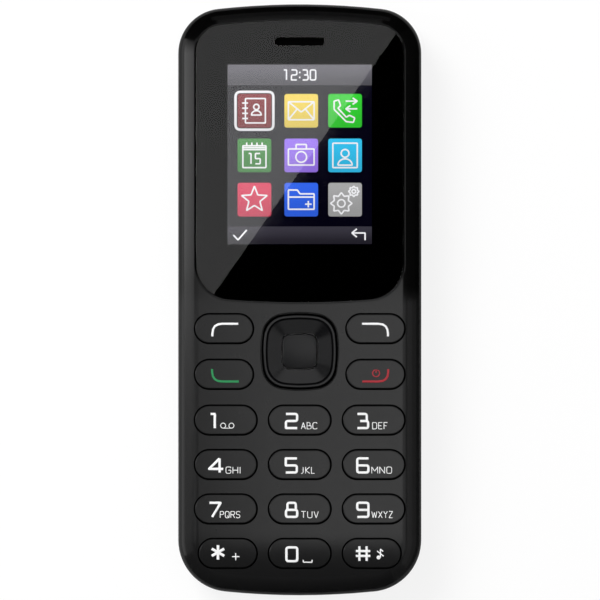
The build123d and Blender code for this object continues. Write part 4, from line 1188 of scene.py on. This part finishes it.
floorFinish = Finish("floor")
cloud = floorFinish.noise(stageLook["floorCloud"])
dim = shade(stageLook["floor"], stageLook["floorDim"])
floorFinish.set(color=floorFinish.blend(cloud, dim, stageLook["floor"]))
floorFinish.set(roughness=stageLook["floorRough"])
path = floorFinish.node("ShaderNodeLightPath", {}, {}, "Is Camera Ray")
glossy = Value(floorFinish, path.socket.node.outputs["Is Glossy Ray"])
through = Value(floorFinish, path.socket.node.outputs["Is Transmission Ray"])
paper = floorFinish.node("ShaderNodeEmission", {}, {"Color": (1, 1, 1), "Strength": 1.0})
plain = Value(floorFinish, floorFinish.shader.outputs[0])
seen = path.atLeast(glossy).atLeast(through) * stageLook["floorWhite"]
mixed = floorFinish.node("ShaderNodeMixShader", {}, {0: seen, 1: plain, 2: paper})
floorFinish.links.new(mixed.socket, floorFinish.nodes["Material Output"].inputs[0])
floor = stagePlane("floor", stageLook["floorSize"], stageLook["floorSize"], floorFinish.material)
floor.location.z = stageLook["floorLevel"]

lampLook = stageLook["windowLamp"]
lampFinish = Finish("window_lamp")
lampFinish.set(color=(0, 0, 0), gloss=0.0, glow=(1, 1, 1), power=lampLook["light"])
work = bmesh.new()
work.faces.new([work.verts.new((x, y, lampLook["level"])) for x, y in lampLook["corners"]])
lampMesh = bpy.data.meshes.new("windowLamp")
work.to_mesh(lampMesh)
work.free()
lampMesh.materials.append(lampFinish.material)
windowLamp = bpy.data.objects.new("windowLamp", lampMesh)
windowLamp.visible_camera = False
bpy.context.scene.collection.objects.link(windowLamp)

for name, card in stageLook["cards"].items():
    flag = stagePlane(name, *card["size"], inkFinish(name, shade((1, 1, 1), card["tone"])))
    level = card.get("level", stageLook["cardFoot"] + card["size"][1] / 2)
    flag.location = (*card["at"], level)
    flag.rotation_euler = (0 if "level" in card else math.pi / 2, 0, math.radians(card["turn"]))
    flag.visible_camera = flag.visible_diffuse = flag.visible_shadow = False

world = bpy.data.worlds.new("studio")
bpy.context.scene.world = world
room = Tree(world)
facing = room.node("ShaderNodeTexCoord", {}, {}, "Generated")
upward = Value(room, room.node("ShaderNodeSeparateXYZ", {}, {0: facing}).socket.node.outputs[2])
sky = (1 - upward.ramp(*stageLook["skyFrom"])) * stageLook["horizon"]
room.put(room.nodes["Background"].inputs["Strength"], sky)
room.put(room.nodes["Background"].inputs["Color"], (1.0, 1.0, 1.0))

# Camera straight above the phone, with the earpiece up, on a long lens
cameraLook = {"at": (0.05, -0.03), "distance": 2.0, "level": 6.0, "frame": 117.0, "sensor": 36.0}
cameraData = bpy.data.cameras.new("camera")
cameraData.sensor_width = cameraLook["sensor"]
cameraData.lens = cameraLook["sensor"] * cameraLook["distance"] / (cameraLook["frame"] * mm)
camera = bpy.data.objects.new("camera", cameraData)
cameraX, cameraY = (side * mm for side in cameraLook["at"])
camera.location = (cameraX, cameraY, cameraLook["distance"] + cameraLook["level"] * mm)
bpy.context.scene.collection.objects.link(camera)
bpy.context.scene.camera = camera
bpy.context.scene.view_settings.view_transform = "Standard"
